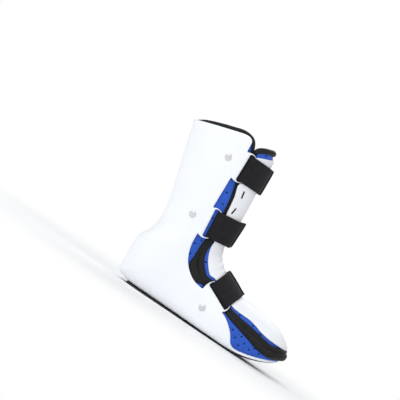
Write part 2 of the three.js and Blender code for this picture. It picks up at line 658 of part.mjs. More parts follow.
function plateBody() {
  const rows = [...PLATE_EDGE].reverse();
  let body = form(0, TONGUE_TIP).subtract(form(PLATE_WALL, TONGUE_TIP));
  body = body.intersect(across(tongueOutline(rows, PLATE_TOE, PLATE_TOP)));
  for (const slit of SLITS) body = body.subtract(slitCut(slit));
  return body;
}

function outsoleBody() {
  const rings = SOLE.map(({ x, half, shift, thick }) => {
    const top = spring(x) + OUTSOLE_THICK;
    const corners = [[-half, -thick], [half, -thick], [half, 0], [-half, 0]];
    return corners.map(([y, z]) => new THREE.Vector3(x, shift + y, top + z));
  });
  return solid(skin(rings));
}

// Assembly

const paint = (color, roughness, metalness = 0) => new THREE.MeshStandardMaterial({ color, roughness, metalness });
const WHITE = paint("#f2f5f7", 0.35);
const COVER = paint("#e9eaf0", 0.45);
const BLUE = paint("#2f5bc4", 0.85);
const BLACK_ROLL = paint("#25262a", 0.8);
const WEBBING = paint("#27282c", 0.9);
const METAL = paint("#c9cacc", 0.35, 1);
const RUBBER = paint("#2a2827", 0.85);

const boot = new THREE.Group();
boot.name = "ankle_rehabilitation_shoe";
boot.add(piece("shell", shellBody(), WHITE));
boot.add(piece("outsole", outsoleBody(), RUBBER));
boot.add(piece("liner", linerBody(), BLUE));
boot.add(piece("liner_edge", linerRoll(0), BLACK_ROLL));
boot.add(piece("tongue_pad", padBody(), BLUE));
boot.add(piece("tongue_edge", tongueRoll(0), BLACK_ROLL));
boot.add(piece("tongue_plate", plateBody(), COVER));
for (const strap of STRAPS) {
  for (const [word, side] of [["outer", -1], ["inner", 1]]) {
    const body = strapBody(strap, side, side > 0).subtract(rivetHole(strap, side));
    boot.add(piece(`strap_${strap.name}_${word}`, body, WEBBING));
    boot.add(piece(`rivet_${strap.name}_${word}`, rivetBody(strap, side), METAL));
  }
}

const box = new THREE.Box3().setFromObject(boot);
boot.position.set(-(box.min.x + box.max.x) / 2, -(box.min.y + box.max.y) / 2, -box.min.z);

export default boot;
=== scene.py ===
"""Looks of the ankle rehabilitation boot. Tables are in millimetres from the heel, meshes in metres."""
import math
from collections import namedtuple

import bmesh
import bpy
import numpy as np
from mathutils import Matrix, Vector, geometry, kdtree


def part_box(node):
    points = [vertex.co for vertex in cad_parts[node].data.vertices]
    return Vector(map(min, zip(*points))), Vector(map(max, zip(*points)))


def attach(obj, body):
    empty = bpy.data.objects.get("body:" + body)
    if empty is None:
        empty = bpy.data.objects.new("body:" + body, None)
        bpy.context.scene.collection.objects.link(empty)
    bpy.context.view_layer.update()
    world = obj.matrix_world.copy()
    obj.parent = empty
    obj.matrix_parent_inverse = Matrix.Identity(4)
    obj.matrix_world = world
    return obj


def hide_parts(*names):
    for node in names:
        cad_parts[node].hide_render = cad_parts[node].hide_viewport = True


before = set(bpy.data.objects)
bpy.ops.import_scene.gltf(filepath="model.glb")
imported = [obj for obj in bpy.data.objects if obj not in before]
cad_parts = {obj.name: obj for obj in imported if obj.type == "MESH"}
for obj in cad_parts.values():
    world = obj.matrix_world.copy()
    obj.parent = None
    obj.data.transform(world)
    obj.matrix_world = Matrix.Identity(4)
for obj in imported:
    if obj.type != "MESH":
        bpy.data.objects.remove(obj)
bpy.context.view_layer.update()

# Walls and layers
MM = 0.001
GAP = 0.3
SHELL_WALL = 3.0
LINER_WALL = 6.0
PLATE_WALL = 2.0
OUTSOLE_THICK = 2.0
SOLE_STRIP = 3.05
SHELL_BOTTOM = OUTSOLE_THICK + GAP
LINER_OUTSIDE = SHELL_WALL + GAP
LINER_INSIDE = LINER_OUTSIDE + LINER_WALL
PAD_OUTSIDE = PLATE_WALL + GAP

# Toe: its tips, where it begins, its shape, places where it blends into the foot, rise of the sole under it
SHELL_TIP = 251.5
FOOT_TIP = 258.5
TONGUE_TIP = 252.5
TOE_START = 195.0
TOE_POWER = 2.4
TOE_SHIFT = 3.0
TOE_BLEND = (3, 5)
SPRING_START = 175.0
SPRING_RATE = 1 / 286

# Straps, with their slots and tabs
STRAP_WIDTH = 38.0
STRAP_THICK = 1.8
STRAP_TAIL = 6.0
STRAP_CORNER = 4.0
STRAP_LINES = 17
STRAP_STEPS = 5
STRAP_END_STEPS = 12
STRAP_EDGE_THIN = 0.62
STRAP_EDGE_POWER = 10
STRAP_END_THIN = 0.55
SLOT_WIDE = 7.6
SLOT_PLAY = 0.4
SLOT_BOW = 2.2
SLOT_STEP = 0.8
TAB_BAR = 2.4
TAB_BOW = 5.0
# How the halves of a strap lie on each other: depths, steps of the under half, climb of the over half
LAYER_UNDER = -1.6
LAYER_OVER = -3.55
LAY_STEP = 0.1
LAY_SLACK = 6.0
UNDER_STEP = 5.5
UNDER_STEPS = 4
UNDER_LAYS = 10
OVER_LAYS = 5
OVER_CLIMB = [(0.52, 2, LAYER_UNDER - 0.7), (0.62, 1, LAYER_OVER + 0.5)]
OVER_SHARES = (0.7, 0.76, 0.82, 0.88, 0.94)
OVER_END = -1.0
# Shares of the way to the front over which a strap lifts off, and its over half slips up
LIFT_SHARES = (0.3, 0.95)
SLIP_SHARES = (0.5, 0.95)
# Pocket pressed into the liner under a strap's end: depth, reach beside, behind and ahead of it, slope
POCKET_DEPTH = 8.3
POCKET_BESIDE = 2.5
POCKET_BEHIND = 38
POCKET_AHEAD = 10
POCKET_SLOPE = 3

# Rivets: radius and height round the stem, the rim and the tip; the dome's radius, foot and height
RIVET_BACK = 28.0
RIVET_SIDES = 32
RIVET_STEM = [(3.5, -7.9), (3.5, -7.3), (1.8, -7.3), (1.8, 0.1)]
RIVET_RIM = [(4.5, 0.1), (4.75, 0.3), (4.7, 0.62), (4.45, 0.8), (4.2, 0.7)]
RIVET_DOME = (4.1, 0.75, 1.1)
RIVET_DOME_STEPS = 9
RIVET_TIP = (0.3, 1.95)

# Foam and rolls
PERFORATION = 1.1
HOLE_SIDES = 14
PILLOW_REACH = 7.0
LINER_PILLOW = 2.6
PAD_PILLOW = 3.4
ROLL_SWELL = 1.06
ROLL_TUCK = 2.4
ROLL_SIDES = 22
ROLL_STEP = 2.2
ROLL_ROW_STEP = 3.0
# Share by which the rolls swell towards each other, by place from heel to toe, and heights where it fades
ROLL_MEET = ((20, 40, 60, 80, 98, 108, 124, 150), (0, 0.42, 0.6, 0.6, 0.8, 1.2, 1.0, 0.42))
ROLL_FADE = (236, 242)
# Unevenness of a roll: share of its radius, length, start
ROLL_WOBBLE = ((0.02, 5.3, 0), (0.015, 3.1, 1))
# Share of a roll's half, from the toe, where its ends join under the lower strap
ROLL_JOIN = 0.29

# Meshes: seam at the toe, rims, spacing of edges and fillings
TOE_SEAM = 1.2
WELD = 0.001
SLOT_RIM = 0.2
SHELL_RIM = 0.5
FOAM_RIM = 0.5
PLATE_RIM = 0.7
SOLE_RIM = 0.6
RIM_STEPS = 6
EDGE_SOFT = 2
EDGE_STEP = 1.6
FOAM_EDGE_STEP = 1.8
PATH_STEP = 2.0
SHELL_PATH_STEP = 1.5
FINE_STEP = 1.0
THREAD_STEPS = 24
BOW_POINTS = 10
FILL_STEP = 3.0
PLATE_STEP = 1.8
GRID_CLEAR = 0.6
NEAR_ZERO = 1e-9
HALVINGS = 40
BLOCK = 2000
UV_UNIT = 100

# Sections of the boot from the toes over the heel to the top
BACK_X, BACK_Z, FRONT_X, FRONT_Z, HALF, SHIFT, WIDE, BACK_POWER, FRONT_POWER = range(9)
FORM = np.array([
    [195, 3.7, 195, 67.6, 47.5, 6, 0.33, 9, 2.1],
    [178, 2.33, 181, 69.4, 49.3, 5.2, 0.33, 8.5, 2.1],
    [156, 2.3, 170.5, 69.6, 49, 4.2, 0.34, 7.4, 2.05],
    [132.5, 2.3, 160.5, 70.2, 46.8, 3, 0.36, 6.4, 2],
    [112, 2.3, 143, 78.2, 44.2, 2, 0.38, 5.6, 2],
    [91.5, 2.3, 125.5, 86.2, 42, 1.2, 0.42, 5, 2],
    [68, 2.3, 121, 89, 40.6, 0.6, 0.45, 4.5, 2],
    [45, 2.4, 117, 92.2, 39.8, 0.2, 0.47, 4.2, 2],
    [25, 2.8, 113.6, 95.2, 39.5, 0, 0.48, 3.6, 2],
    [10.5, 5.4, 111, 98, 39.5, 0, 0.49, 3, 2],
    [1, 10.6, 109.2, 100.6, 39.5, 0, 0.5, 2.6, 2],
    [-0.4, 22, 107.9, 103, 39.5, 0, 0.5, 2.4, 2],
    [-1.4, 34, 107, 105.2, 39.6, 0, 0.5, 2.3, 2],
    [-2.5, 47, 106.2, 107.2, 39.7, 0, 0.5, 2.2, 2.05],
    [-2.2, 59, 105.6, 108.9, 39.8, 0, 0.5, 2.2, 2.05],
    [0.2, 68.5, 105.1, 110.3, 39.9, 0, 0.5, 2.2, 2.1],
    [5.2, 77, 104.7, 111.6, 40, 0, 0.5, 2.15, 2.1],
    [8.4, 88, 104.4, 113, 40.2, 0, 0.5, 2.1, 2.1],
    [9.6, 103.5, 104, 114.7, 40.6, 0, 0.5, 2.1, 2.15],
    [6.5, 122, 103.9, 133.6, 41.8, 0, 0.5, 2.1, 2.15],
    [1.2, 141.7, 103.4, 153.8, 43.6, 0, 0.5, 2.1, 2.15],
    [-5.5, 164, 102.4, 172, 46, 0, 0.5, 2.1, 2.15],
    [-12, 185, 100.8, 188, 48.4, 0, 0.5, 2.1, 2.15],
    [-15.8, 197.5, 99.6, 199, 49.8, 0, 0.5, 2.1, 2.15],
    [-21.5, 217, 98.4, 218, 51.8, 0, 0.5, 2.1, 2.15],
    [-26.6, 236, 97, 236.5, 53.4, 0, 0.5, 2.1, 2.15],
    [-28.5, 255, 94.5, 255, 54.6, 0, 0.5, 2.1, 2.15],
    [-29.5, 275, 90, 275, 55.6, 0, 0.5, 2.1, 2.15],
])
TURN_STEPS = 180
CORNER_STEPS = 80
CORNER_POWER = 4.5
TOE_ROWS = 6
LAST = TOE_ROWS + len(FORM) - 1
SHAFT_START = TOE_ROWS + 19
TOE_TOP = [
    (195, 67.6), (207, 66), (217, 64.4), (226, 62.4), (233, 59.8), (240, 55.8),
    (245, 52.4), (249.4, 48.9), (254, 44.8), (258.5, 40),
]

# Straps: the two ends of each slot's back edge in the side view, how far the tab reaches behind the slot
# at its top and low end, how far the strap stands off at the front, how far its over half slips up there,
# and whether the liner is pressed in behind the slot
Strap = namedtuple("Strap", "top low behind_top behind_low lift slip pocket")
STRAPS = {
    "upper": Strap((63.2, 235.5), (64.9, 197.5), 6, 6.6, 2.2, 0.3, True),
    "middle": Strap((64.8, 148.7), (69.3, 110.9), 4, 6.6, 4.2, 2.0, False),
    "lower": Strap((114.8, 59.5), (149.3, 43.5), 10, 4, 1.8, -0.6, True),
}
# Strap through its slot: distance ahead of the slot's middle, depth below the boot's outside
SLOT_RUN = [
    (-RIVET_BACK - STRAP_TAIL, 5.4), (-RIVET_BACK, 5.4), (-20, 5.4), (-12, 5.4), (-5.5, 5.4), (-3, 5.4),
    (-1.5, 4.4), (0.6, 1.8), (2.8, -0.8), (4.3, -1.55), (6.6, -1.6),
]
# The same where the strap comes out of the foam at the front of its slot
FOAM_RUN = [
    (-RIVET_BACK - STRAP_TAIL, 5.4), (-RIVET_BACK, 5.4), (-20, 5.4), (-12, 5.4), (-5.5, 5.4), (1.6, 5.4),
    (2.6, 4), (3.1, 2.2), (3.5, 0.4), (4.2, -1.2), (5.3, -1.6), (7.2, -1.6),
]

# Edge rolls from the toe to the top: side view x and z, depth of the middle, radius, half width where flat;
# then height, depth and radius at the toe and where they cross the back or front line
LINER_ROLL = [
    (249, 29.4, 5, 4.4), (240, 26.9, 4.7, 4.2, 4.4), (228, 26.4, 4.9, 4.1, 4.4), (214, 28.6, 5.4, 4.1, 4.4),
    (194, 32.6, 6.6, 3.9, 4), (176, 36.2, 7.1, 3.6), (158, 40.6, 7.6, 3.2), (147, 43.5, 10, 2.8),
    (131, 48.5, 10.2, 2.8), (115, 53.5, 10, 2.8), (106.5, 57.2, 8.8, 3.2, 3.8), (98.4, 56.9, 8, 3.6, 5.7),
    (89.3, 61, 7.6, 4, 6.2), (81.5, 70.3, 7.4, 4, 6), (79, 81.8, 7.4, 3.6, 3.7), (78.2, 93, 7, 3.2),
    (78.2, 105, 6.9, 3), (79.5, 128, 7.4, 2.8), (78.9, 148, 7.2, 2.8), (77, 163, 6.7, 2.8),
    (75.4, 174, 6.7, 2.9), (72, 186, 7.2, 2.9), (68.5, 199, 9.5, 2.8), (66.5, 218, 9.8, 2.8),
    (64.2, 235, 9.2, 2.8), (60.6, 245.5, 7.2, 3), (55, 253.3, 7, 3.2), (42, 255.8, 7, 3.3),
    (20, 249.9, 7, 3.3), (-4, 242.1, 7, 3.2), (-12, 238.8, 7, 3.1), (-18, 235.7, 6.9, 3),
    (-19.2, 234.95, 6.9, 3),
]
LINER_TOE = (31.8, 5, 4.4)
LINER_BACK = (234.8, 6.9, 3)
TONGUE_ROLL = [
    (247, 38, 1.8, 3.7, 3.9), (240, 35.4, 3, 3.8), (228, 34.9, 4.2, 3.9), (214, 36.9, 4.6, 3.9, 4),
    (194, 40.3, 5.8, 3.8, 3.9), (176, 43.2, 6.6, 3.5), (158, 47.3, 7, 3), (149, 51.5, 7.2, 2.8),
    (135, 58.2, 7.2, 2.8), (121, 65.2, 7.2, 2.8), (112.5, 66.2, 7.2, 2.9), (105.2, 65.6, 7.2, 3.4),
    (98.6, 69.4, 7, 3.9), (92, 76.4, 6.8, 3.9), (86.6, 85.6, 6.7, 3.5), (84.4, 95.6, 6.5, 3.2),
    (84.6, 106, 6.4, 3), (86, 128, 6.4, 2.8), (85.4, 148, 6.4, 2.8), (83.6, 163, 6, 2.8),
    (82, 174, 6, 2.8), (79, 186, 6.4, 2.8), (76.5, 199, 7, 2.8), (74.5, 218, 7.2, 2.8),
    (72, 232, 7.2, 2.8), (68.6, 239.4, 6.9, 3.2), (67.6, 243.3, 6.4, 3.4), (71.2, 247.4, 6, 3.7),
    (79, 251.7, 5.6, 3.8), (87, 254.8, 5.3, 3.8),
]
TONGUE_TOE = (41.2, 1.2, 3.7)
TONGUE_TOP = (255, 5.2, 3.7)

# Where the edges of the foam begin, past the back or front line, and end, past the tip of the toe
LINER_ENDS = [(-40, 230.3), (256, 29.6)]
PAD_ENDS = [(99, 253), (253, 41)]

# Free edges in the side view
TOP_EDGE = [(-28, 234), (40, 254.2)]
TOP_ROUND = (57.5, 258.6)
FRONT_TOP = (56.3, 245)
ANKLE_EDGE = [(64.6, 92), (68.6, 79.2), (75.2, 68), (86.7, 57.7), (97, 52.8)]
TOE_EDGE = [(158, 35.2), (168.2, 27.4), (174.1, 21.6), (178.6, 14.8), (181.5, 10.4), (187, 7)]
PLATE_EDGE = [
    (72.4, 235.4), (75.4, 228), (76.4, 221), (76.6, 203), (75.4, 198), (72.4, 193.2), (73.6, 188),
    (75.4, 183), (77.4, 176), (79.4, 164), (81.2, 151.5), (88.6, 112), (88.8, 103), (94, 88.8),
    (103.4, 76), (109, 71.6), (116, 71.4), (126, 67.2), (152, 54.6), (162, 52.2), (187.5, 51), (197, 49),
    (208, 45.8), (220, 43.8), (234, 42.7), (244, 42.3), (250, 42.2), (253, 42.3),
]
PLATE_TOP = [(95.7, 247.3), (93.5, 246.7), (85, 242.9), (78, 239.8), (72.6, 237.4)]
SLITS = [((83.4, 190.8), (85.6, 180.2)), ((87, 165.8), (85.8, 155.5))]
SLIT_WIDE = 2.0
SLIT_STEP = 0.7
# Strip of the shell round the toe: where it begins, how far apart its points are, how far it passes the tip
STRIP_START = 193.0
STRIP_STEP = 3.0
STRIP_PAST = 0.2
# Folds at the ankle bend: side view place, reach round the front, depth, width
BEND_FOLDS = [
    (104.6, 111.5, 22, 0.7, 1.7), (106.2, 107, 30, -0.4, 2.6), (108.2, 102, 24, 1.0, 1.8),
    (110.6, 98, 28, -0.45, 2.8), (113.4, 94.6, 20, 0.9, 1.7), (116.4, 91.6, 28, -0.4, 2.6),
    (119.6, 89, 24, 1.0, 1.7), (123, 87, 26, -0.3, 2.8), (127, 84.6, 18, 0.6, 1.7),
]
# Sway of the folds: height, length and start; how they sag to the sides; their share on the inside
FOLD_SWAY = (1.3, 7.0, 2.1)
FOLD_SAG = 0.09
FOLD_INSIDE = 0.4
# Perforations that show
LINER_HOLES = [
    (174.4, 27.8), (189, 26.4), (182.4, 20.8), (198, 20.8), (191.8, 14.4), (207.8, 17), (213.6, 22.4),
    (223, 19.8), (67.7, 96), (72.6, 104.2), (69.9, 81), (68.6, 137.2), (65.4, 176), (69.6, 160.4),
]
PAD_HOLES = [(94.2, 83.2), (194, 47), (209.6, 43), (171.5, 49.2), (82, 246.2)]
# Outsole: place, half width, shift to the inner side, thickness
SOLE = np.array([
    [19, 14, 0, 2], [22, 20, 0, 2], [30, 25, 0, 2], [45, 27.5, 0.2, 2], [91, 31, 1.2, 2], [132, 37, 3, 2],
    [160, 40, 4.3, 2], [180, 40.5, 5.2, 2], [198, 38.5, 6, 1.8], [216, 34, 7, 1.5], [230, 27.5, 7.8, 1.2],
    [240, 20, 8.3, 1], [246, 12, 8.6, 0.9], [248.5, 5, 8.7, 0.9],
])
SOLE_STEP = 3.0
SOLE_EDGE_STEP = 2.0
SOLE_SOFT = 3
SOLE_FILL_STEP = 5.0
SOLE_WEAR = 0.4
SOLE_WEAR_REACH = 4.0
HEEL_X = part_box("outsole")[0].x / MM - SOLE[0, 0]

# Materials: where the tints lie in the noise; ribs and rows of the webbing in a tenth of a metre
TINT_STOPS = (0.3, 0.7)
WEAVE_RIBS = 70
WEAVE_ROWS = 45

# Camera: the side view of the boot, its toe turned down in the picture
PIXEL = 1.357
IMAGE = 400
PITCH = math.radians(33.8)
AIM = (40.9, -2.0, 148.0)
LENS = 200.0
SENSOR = 36.0

# Sky light: direction where it is brightest, its lowest and highest strength
SKY_BRIGHT = (-0.55, -0.45, 0.7)
SKY_LOW = 0.18
SKY_HIGH = 0.9

# Area lights: name, place, size and power; all of them aim at the middle of the boot
LIGHTS = [
    ("key", (-1.4, -2.2, 2.4), 1.6, 34),
    ("fill", (1.8, -1.6, 1.2), 1.4, 8),
    ("back", (0.3, 2.0, 1.8), 1.4, 14),
]
LIGHT_AIM = (0, 0, 0.12)

# Floor: half its size, and the metres from the boot over which it fades into the white backdrop
FLOOR_HALF = 6.0
FADE_START = 0.17
FADE_END = 0.5


# Boot form

def spring(x):
    """Rise of the sole towards the toe."""
    return np.maximum(x - SPRING_START, 0) ** 2 * SPRING_RATE


def smooth(low, high, value):
    """Soft step from 0 at low to 1 at high."""
    part = np.clip((value - low) / (high - low), 0, 1)
    return part * part * (3 - 2 * part)


def unit(vectors):
    """The vectors at length one."""
    return vectors / np.maximum(np.linalg.norm(vectors, axis=-1, keepdims=True), NEAR_ZERO)


def lengths_along(points):
    """Lengths from the first point of a line to each of its points."""
    return np.concatenate([[0], np.cumsum(np.linalg.norm(np.diff(points, axis=0), axis=1))])


def curve(rows, x):
    """Smooth curve through rows of x and value."""
    px, py = np.array(rows, float).T
    x = np.clip(x, px[0], px[-1])
    slope = np.gradient(py, px)
    i = np.clip(np.searchsorted(px, x) - 1, 0, len(px) - 2)
    step = px[i + 1] - px[i]
    t = (x - px[i]) / step
    start = py[i] * (1 + 2 * t) * (1 - t) ** 2 + slope[i] * step * t * (1 - t) ** 2
    end = py[i + 1] * t * t * (3 - 2 * t) + slope[i + 1] * step * t * t * (t - 1)
    return start + end


def toe_rows(part, depth, tip):
    """Sections of the rounded toe; part is 0 where it begins and 1 at the tip."""
    x = TOE_START + part * (tip - depth - TOE_START)
    rows = np.repeat(FORM[:1], len(part), axis=0)
    rows[:, BACK_X] = x
    rows[:, FRONT_X] = x
    rows[:, BACK_Z] = SHELL_BOTTOM + spring(x)
    rows[:, FRONT_Z] = curve(TOE_TOP, x)
    narrow = np.maximum(1 - part**TOE_POWER, 0) ** (1 / TOE_POWER)
    rows[:, HALF] = (FORM[0, HALF] - depth) * narrow + depth
    rows[:, SHIFT] += TOE_SHIFT * part
    return rows


def toe_part(place):
    """Share of the way from the toe's beginning to its tip."""
    return np.cos(np.clip(place, 0, TOE_ROWS) * math.pi / (2 * TOE_ROWS))


def whole_rows(index, depth, tip):
    """Sections at whole places: the table's rows, or those of the toe."""
    index = np.clip(index, 0, LAST)
    rows = FORM[np.clip(index - TOE_ROWS, 0, None)].copy()
    toe = index < TOE_ROWS
    rows[toe] = toe_rows(toe_part(index[toe]), depth[toe], tip)
    return rows


def front_limit(slope, before, after):
    """Slope of the sections' columns, kept small at the front line so that close rows don't fold back."""
    front = slice(FRONT_X, FRONT_Z + 1)
    most = 3 * np.minimum(np.abs(before[:, front]), np.abs(after[:, front]))
    slope[:, front] = np.clip(slope[:, front], -most, most)
    return slope


def sections(place, depth, tip):
    """Sections at places between the rows, moved in by a depth."""
    place = np.clip(np.asarray(place, float), 0, LAST)
    depth = np.broadcast_to(np.asarray(depth, float), place.shape)
    first = np.minimum(place.astype(int), LAST - 1)
    part = (place - first)[:, None]
    a, b, c, d = (whole_rows(first + step, depth, tip) for step in (-1, 0, 1, 2))
    start = front_limit((c - a) / 2, b - a, c - b)
    end = front_limit((d - b) / 2, c - b, d - c)
    rows = b + part * (start + part * (3 * (c - b) - 2 * start - end + part * (start + end - 2 * (c - b))))
    blend = smooth(*TOE_BLEND, place)[:, None]
    toe = place < TOE_ROWS - 1
    exact = toe_rows(toe_part(place[toe]), depth[toe], tip)
    rows[toe] = exact + (rows[toe] - exact) * blend[toe]
    line = rows[:, FRONT_X : FRONT_Z + 1] - rows[:, BACK_X : BACK_Z + 1]
    inward = unit(line) * depth[:, None]
    rows[:, BACK_X : BACK_Z + 1] += inward
    rows[:, FRONT_X : FRONT_Z + 1] -= inward
    rows[:, HALF] = np.maximum(rows[:, HALF] - depth, 0)
    return rows


def points_at(place, turn, side, depth, tip):
    """Points of the boot; turn is 0 at the back or sole, pi at the front; side is -1 outside, 1 inside."""
    cut = sections(place, depth, tip)
    at_back = turn <= math.pi / 2
    power = 2 / np.where(at_back, cut[:, BACK_POWER], cut[:, FRONT_POWER])
    reach = np.abs(np.cos(turn)) ** power
    wide = cut[:, WIDE]
    part = np.where(at_back, wide * (1 - reach), wide + (1 - wide) * reach)
    across = cut[:, HALF] * np.clip(np.sin(turn), 0, 1) ** power
    x = cut[:, BACK_X] + (cut[:, FRONT_X] - cut[:, BACK_X]) * part
    z = cut[:, BACK_Z] + (cut[:, FRONT_Z] - cut[:, BACK_Z]) * part
    return np.stack([x, cut[:, SHIFT] + side * across, z], axis=1)


def locate(path, tip, depth):
    """Place and turn of points of the side view that lie at a depth."""
    x, z = np.array(path, float).T
    low = np.zeros(len(x))
    high = np.full(len(x), float(LAST))
    for _ in range(HALVINGS):
        middle = (low + high) / 2
        cut = sections(middle, 0, tip)
        ahead = (cut[:, FRONT_X] - cut[:, BACK_X]) * (z - cut[:, BACK_Z])
        ahead -= (cut[:, FRONT_Z] - cut[:, BACK_Z]) * (x - cut[:, BACK_X])
        low = np.where(ahead > 0, middle, low)
        high = np.where(ahead > 0, high, middle)
    cut = sections(low, depth, tip)
    line = cut[:, FRONT_X : FRONT_Z + 1] - cut[:, BACK_X : BACK_Z + 1]
    spot = np.stack([x, z], axis=1) - cut[:, BACK_X : BACK_Z + 1]
    part = np.clip((spot * line).sum(1) / (line * line).sum(1), 0, 1)
    wide = cut[:, WIDE]
    behind = np.clip(1 - part / wide, 0, 1) ** (cut[:, BACK_POWER] / 2)
    before = np.clip((part - wide) / (1 - wide), 0, 1) ** (cut[:, FRONT_POWER] / 2)
    turn = np.where(part <= wide, np.arccos(behind), math.pi - np.arccos(before))
    return low, turn


def turn_steps():
    """Turns round a section, close together where a square corner runs out into the straight side."""
    corner = np.arccos(np.linspace(0, 1, CORNER_STEPS) ** CORNER_POWER)
    return np.unique(np.concatenate([np.linspace(0, math.pi, TURN_STEPS + 1), corner]))


class Pattern:
    """Flat pattern of the boot's skin: round from its back or front line, along from the toe."""

    PLACE_STEPS = 8

    def __init__(self, tip, front):
        self.tip = tip
        self.front = front
        self.places = np.linspace(0, LAST, self.PLACE_STEPS * LAST + 1)
        self.angles = np.sort(self.turn(turn_steps()))
        ones = np.ones_like(self.places)
        lines = np.stack([self.skin(self.places, ones * angle, 0) for angle in self.angles], axis=1)
        steps = np.linalg.norm(np.diff(lines, axis=1), axis=2)
        self.lengths = np.concatenate([np.zeros((len(lines), 1)), np.cumsum(steps, axis=1)], axis=1)
        widest = np.searchsorted(self.angles, math.pi / 2)
        strides = [np.linalg.norm(np.diff(lines[:, k], axis=0), axis=1) for k in (0, widest)]
        self.along = np.concatenate([[0], np.cumsum(np.maximum(*strides))])

    def turn(self, angle):
        return math.pi - angle if self.front else angle

    def skin(self, place, angle, depth, side=1):
        return points_at(place, self.turn(angle), side, depth, self.tip)

    def rows(self, place):
        spot = np.clip(place * self.PLACE_STEPS, 0, len(self.places) - 1.001)
        first = spot.astype(int)
        part = (spot - first)[:, None]
        return self.lengths[first] * (1 - part) + self.lengths[first + 1] * part

    def flat(self, place, turn):
        """Pattern points of places and turns, on the side where round is positive."""
        angle = self.turn(turn)
        rows = self.rows(place)
        around = np.array([np.interp(a, self.angles, row) for a, row in zip(angle, rows)])
        return np.stack([around, np.interp(place, self.places, self.along)], axis=1)

    def spot(self, points):
        """Places and angles of pattern points."""
        place = np.interp(points[:, 1], self.along, self.places)
        rows = self.rows(place)
        angle = np.array([np.interp(abs(r), row, self.angles) for r, row in zip(points[:, 0], rows)])
        return place, angle

    def lift(self, points, depth):
        """Points in space of pattern points at a depth."""
        place, angle = self.spot(points)
        return self.skin(place, angle, depth, np.where(points[:, 0] < 0, -1, 1))


# Lines in the plane

def resample(path, spacing, closed):
    """Points at an even spacing along a path."""
    points = np.array(path, float)
    if closed:
        points = np.concatenate([points, points[:1]])
    way = lengths_along(points)
    count = max(int(round(way[-1] / spacing)), 3)
    at = np.linspace(0, way[-1], count + 1)
    found = np.stack([np.interp(at, way, column) for column in points.T], axis=1)
    return found[:-1] if closed else found


def soften(loop, rounds):
    """Rounds the corners of a closed loop."""
    for _ in range(rounds):
        loop = 0.25 * np.roll(loop, 1, 0) + 0.5 * loop + 0.25 * np.roll(loop, -1, 0)
    return loop


def thread(rows, spacing):
    """Smooth open curve through rows, by their distance in the first two columns."""
    rows = np.array(rows, float)
    steps = np.linalg.norm(np.diff(rows[:, :2], axis=0), axis=1)
    way = np.concatenate([[0], np.cumsum(np.sqrt(steps))])
    parts = [np.linspace(a, b, THREAD_STEPS, endpoint=False) for a, b in zip(way, way[1:])]
    fine = np.append(np.concatenate(parts), way[-1])
    dense = np.stack([curve(np.stack([way, column], 1), fine) for column in rows.T], axis=1)
    return resample(dense, spacing, False)


def bow(start, control, end):
    """Quadratic curve."""
    t = np.linspace(0, 1, BOW_POINTS)[:, None]
    start, control, end = (np.array(p, float) for p in (start, control, end))
    return (1 - t) ** 2 * start + 2 * t * (1 - t) * control + t * t * end


def inside_loops(points, loops):
    """True for the points that lie inside the first loop and outside the others."""
    found = np.zeros(len(points), bool)
    for loop in loops:
        after = np.roll(loop, -1, 0)
        for block in np.array_split(np.arange(len(points)), max(len(points) // BLOCK, 1)):
            x, y = points[block, 0][:, None], points[block, 1][:, None]
            crosses = (loop[:, 1] > y) != (after[:, 1] > y)
            rise = after[:, 1] - loop[:, 1]
            rise = np.where(rise == 0, 1e-12, rise)
            at = loop[:, 0] + (y - loop[:, 1]) / rise * (after[:, 0] - loop[:, 0])
            found[block] ^= (np.sum(crosses & (x < at), axis=1) % 2).astype(bool)
    return found


# Meshes

Finish = namedtuple("Finish", "material node slot")


def weld(mesh):
    """Joins the two sides of a pattern along its seam, without flaps, and smooths the faces."""
    work = bmesh.new()
    work.from_mesh(mesh)
    bmesh.ops.remove_doubles(work, verts=work.verts, dist=WELD * MM)
    flaps = [face for face in work.faces if sum(edge.is_boundary for edge in face.edges) > 1]
    bmesh.ops.delete(work, geom=flaps, context="FACES")
    bmesh.ops.delete(work, geom=[vert for vert in work.verts if not vert.link_faces], context="VERTS")
    bmesh.ops.recalc_face_normals(work, faces=work.faces)
    for face in work.faces:
        face.smooth = True
    work.to_mesh(mesh)
    work.free()


def make_piece(name, points, faces, flat, finish, shades=None):
    """Object from points in millimetres, with its pattern as the UV map in tenths of a metre."""
    mesh = bpy.data.meshes.new(name)
    places = (np.array(points) + [HEEL_X, 0, 0]) * MM
    mesh.from_pydata(places.tolist(), [], [list(map(int, face)) for face in faces])
    mesh.materials.append(finish.material)
    if shades:
        mesh.materials.append(bpy.data.materials["hole_shadow"])
        mesh.polygons.foreach_set("material_index", shades)
    layer = mesh.uv_layers.new(name="pattern")
    corners = np.zeros(len(mesh.loops), int)
    mesh.loops.foreach_get("vertex_index", corners)
    layer.data.foreach_set("uv", (np.array(flat)[corners] / UV_UNIT).astype(np.float32).ravel())
    weld(mesh)
    piece = bpy.data.objects.new(name, mesh)
    bpy.context.scene.collection.objects.link(piece)
    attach(piece, "root")
    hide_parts(finish.node)
    return piece


def near_points(points):
    """Search tree of points in the plane or in space."""
    tree = kdtree.KDTree(len(points))
    for i, point in enumerate(points):
        tree.insert(Vector(point).to_3d(), i)
    tree.balance()
    return tree


def grid_in(loops, spacing):
    """Points of a triangular grid inside the first loop and outside the others, clear of them all."""
    near = near_points(np.concatenate(loops))
    low, high = loops[0].min(0), loops[0].max(0)
    rows = []
    for k, y in enumerate(np.arange(low[1], high[1], spacing * math.sqrt(0.75))):
        x = np.arange(low[0] + (k % 2) * spacing / 2, high[0], spacing)
        rows.append(np.stack([x, np.full_like(x, y)], axis=1))
    grid = np.concatenate(rows)
    grid = grid[inside_loops(grid, loops)]
    return grid[[near.find((x, y, 0))[2] > GRID_CLEAR * spacing for x, y in grid]]


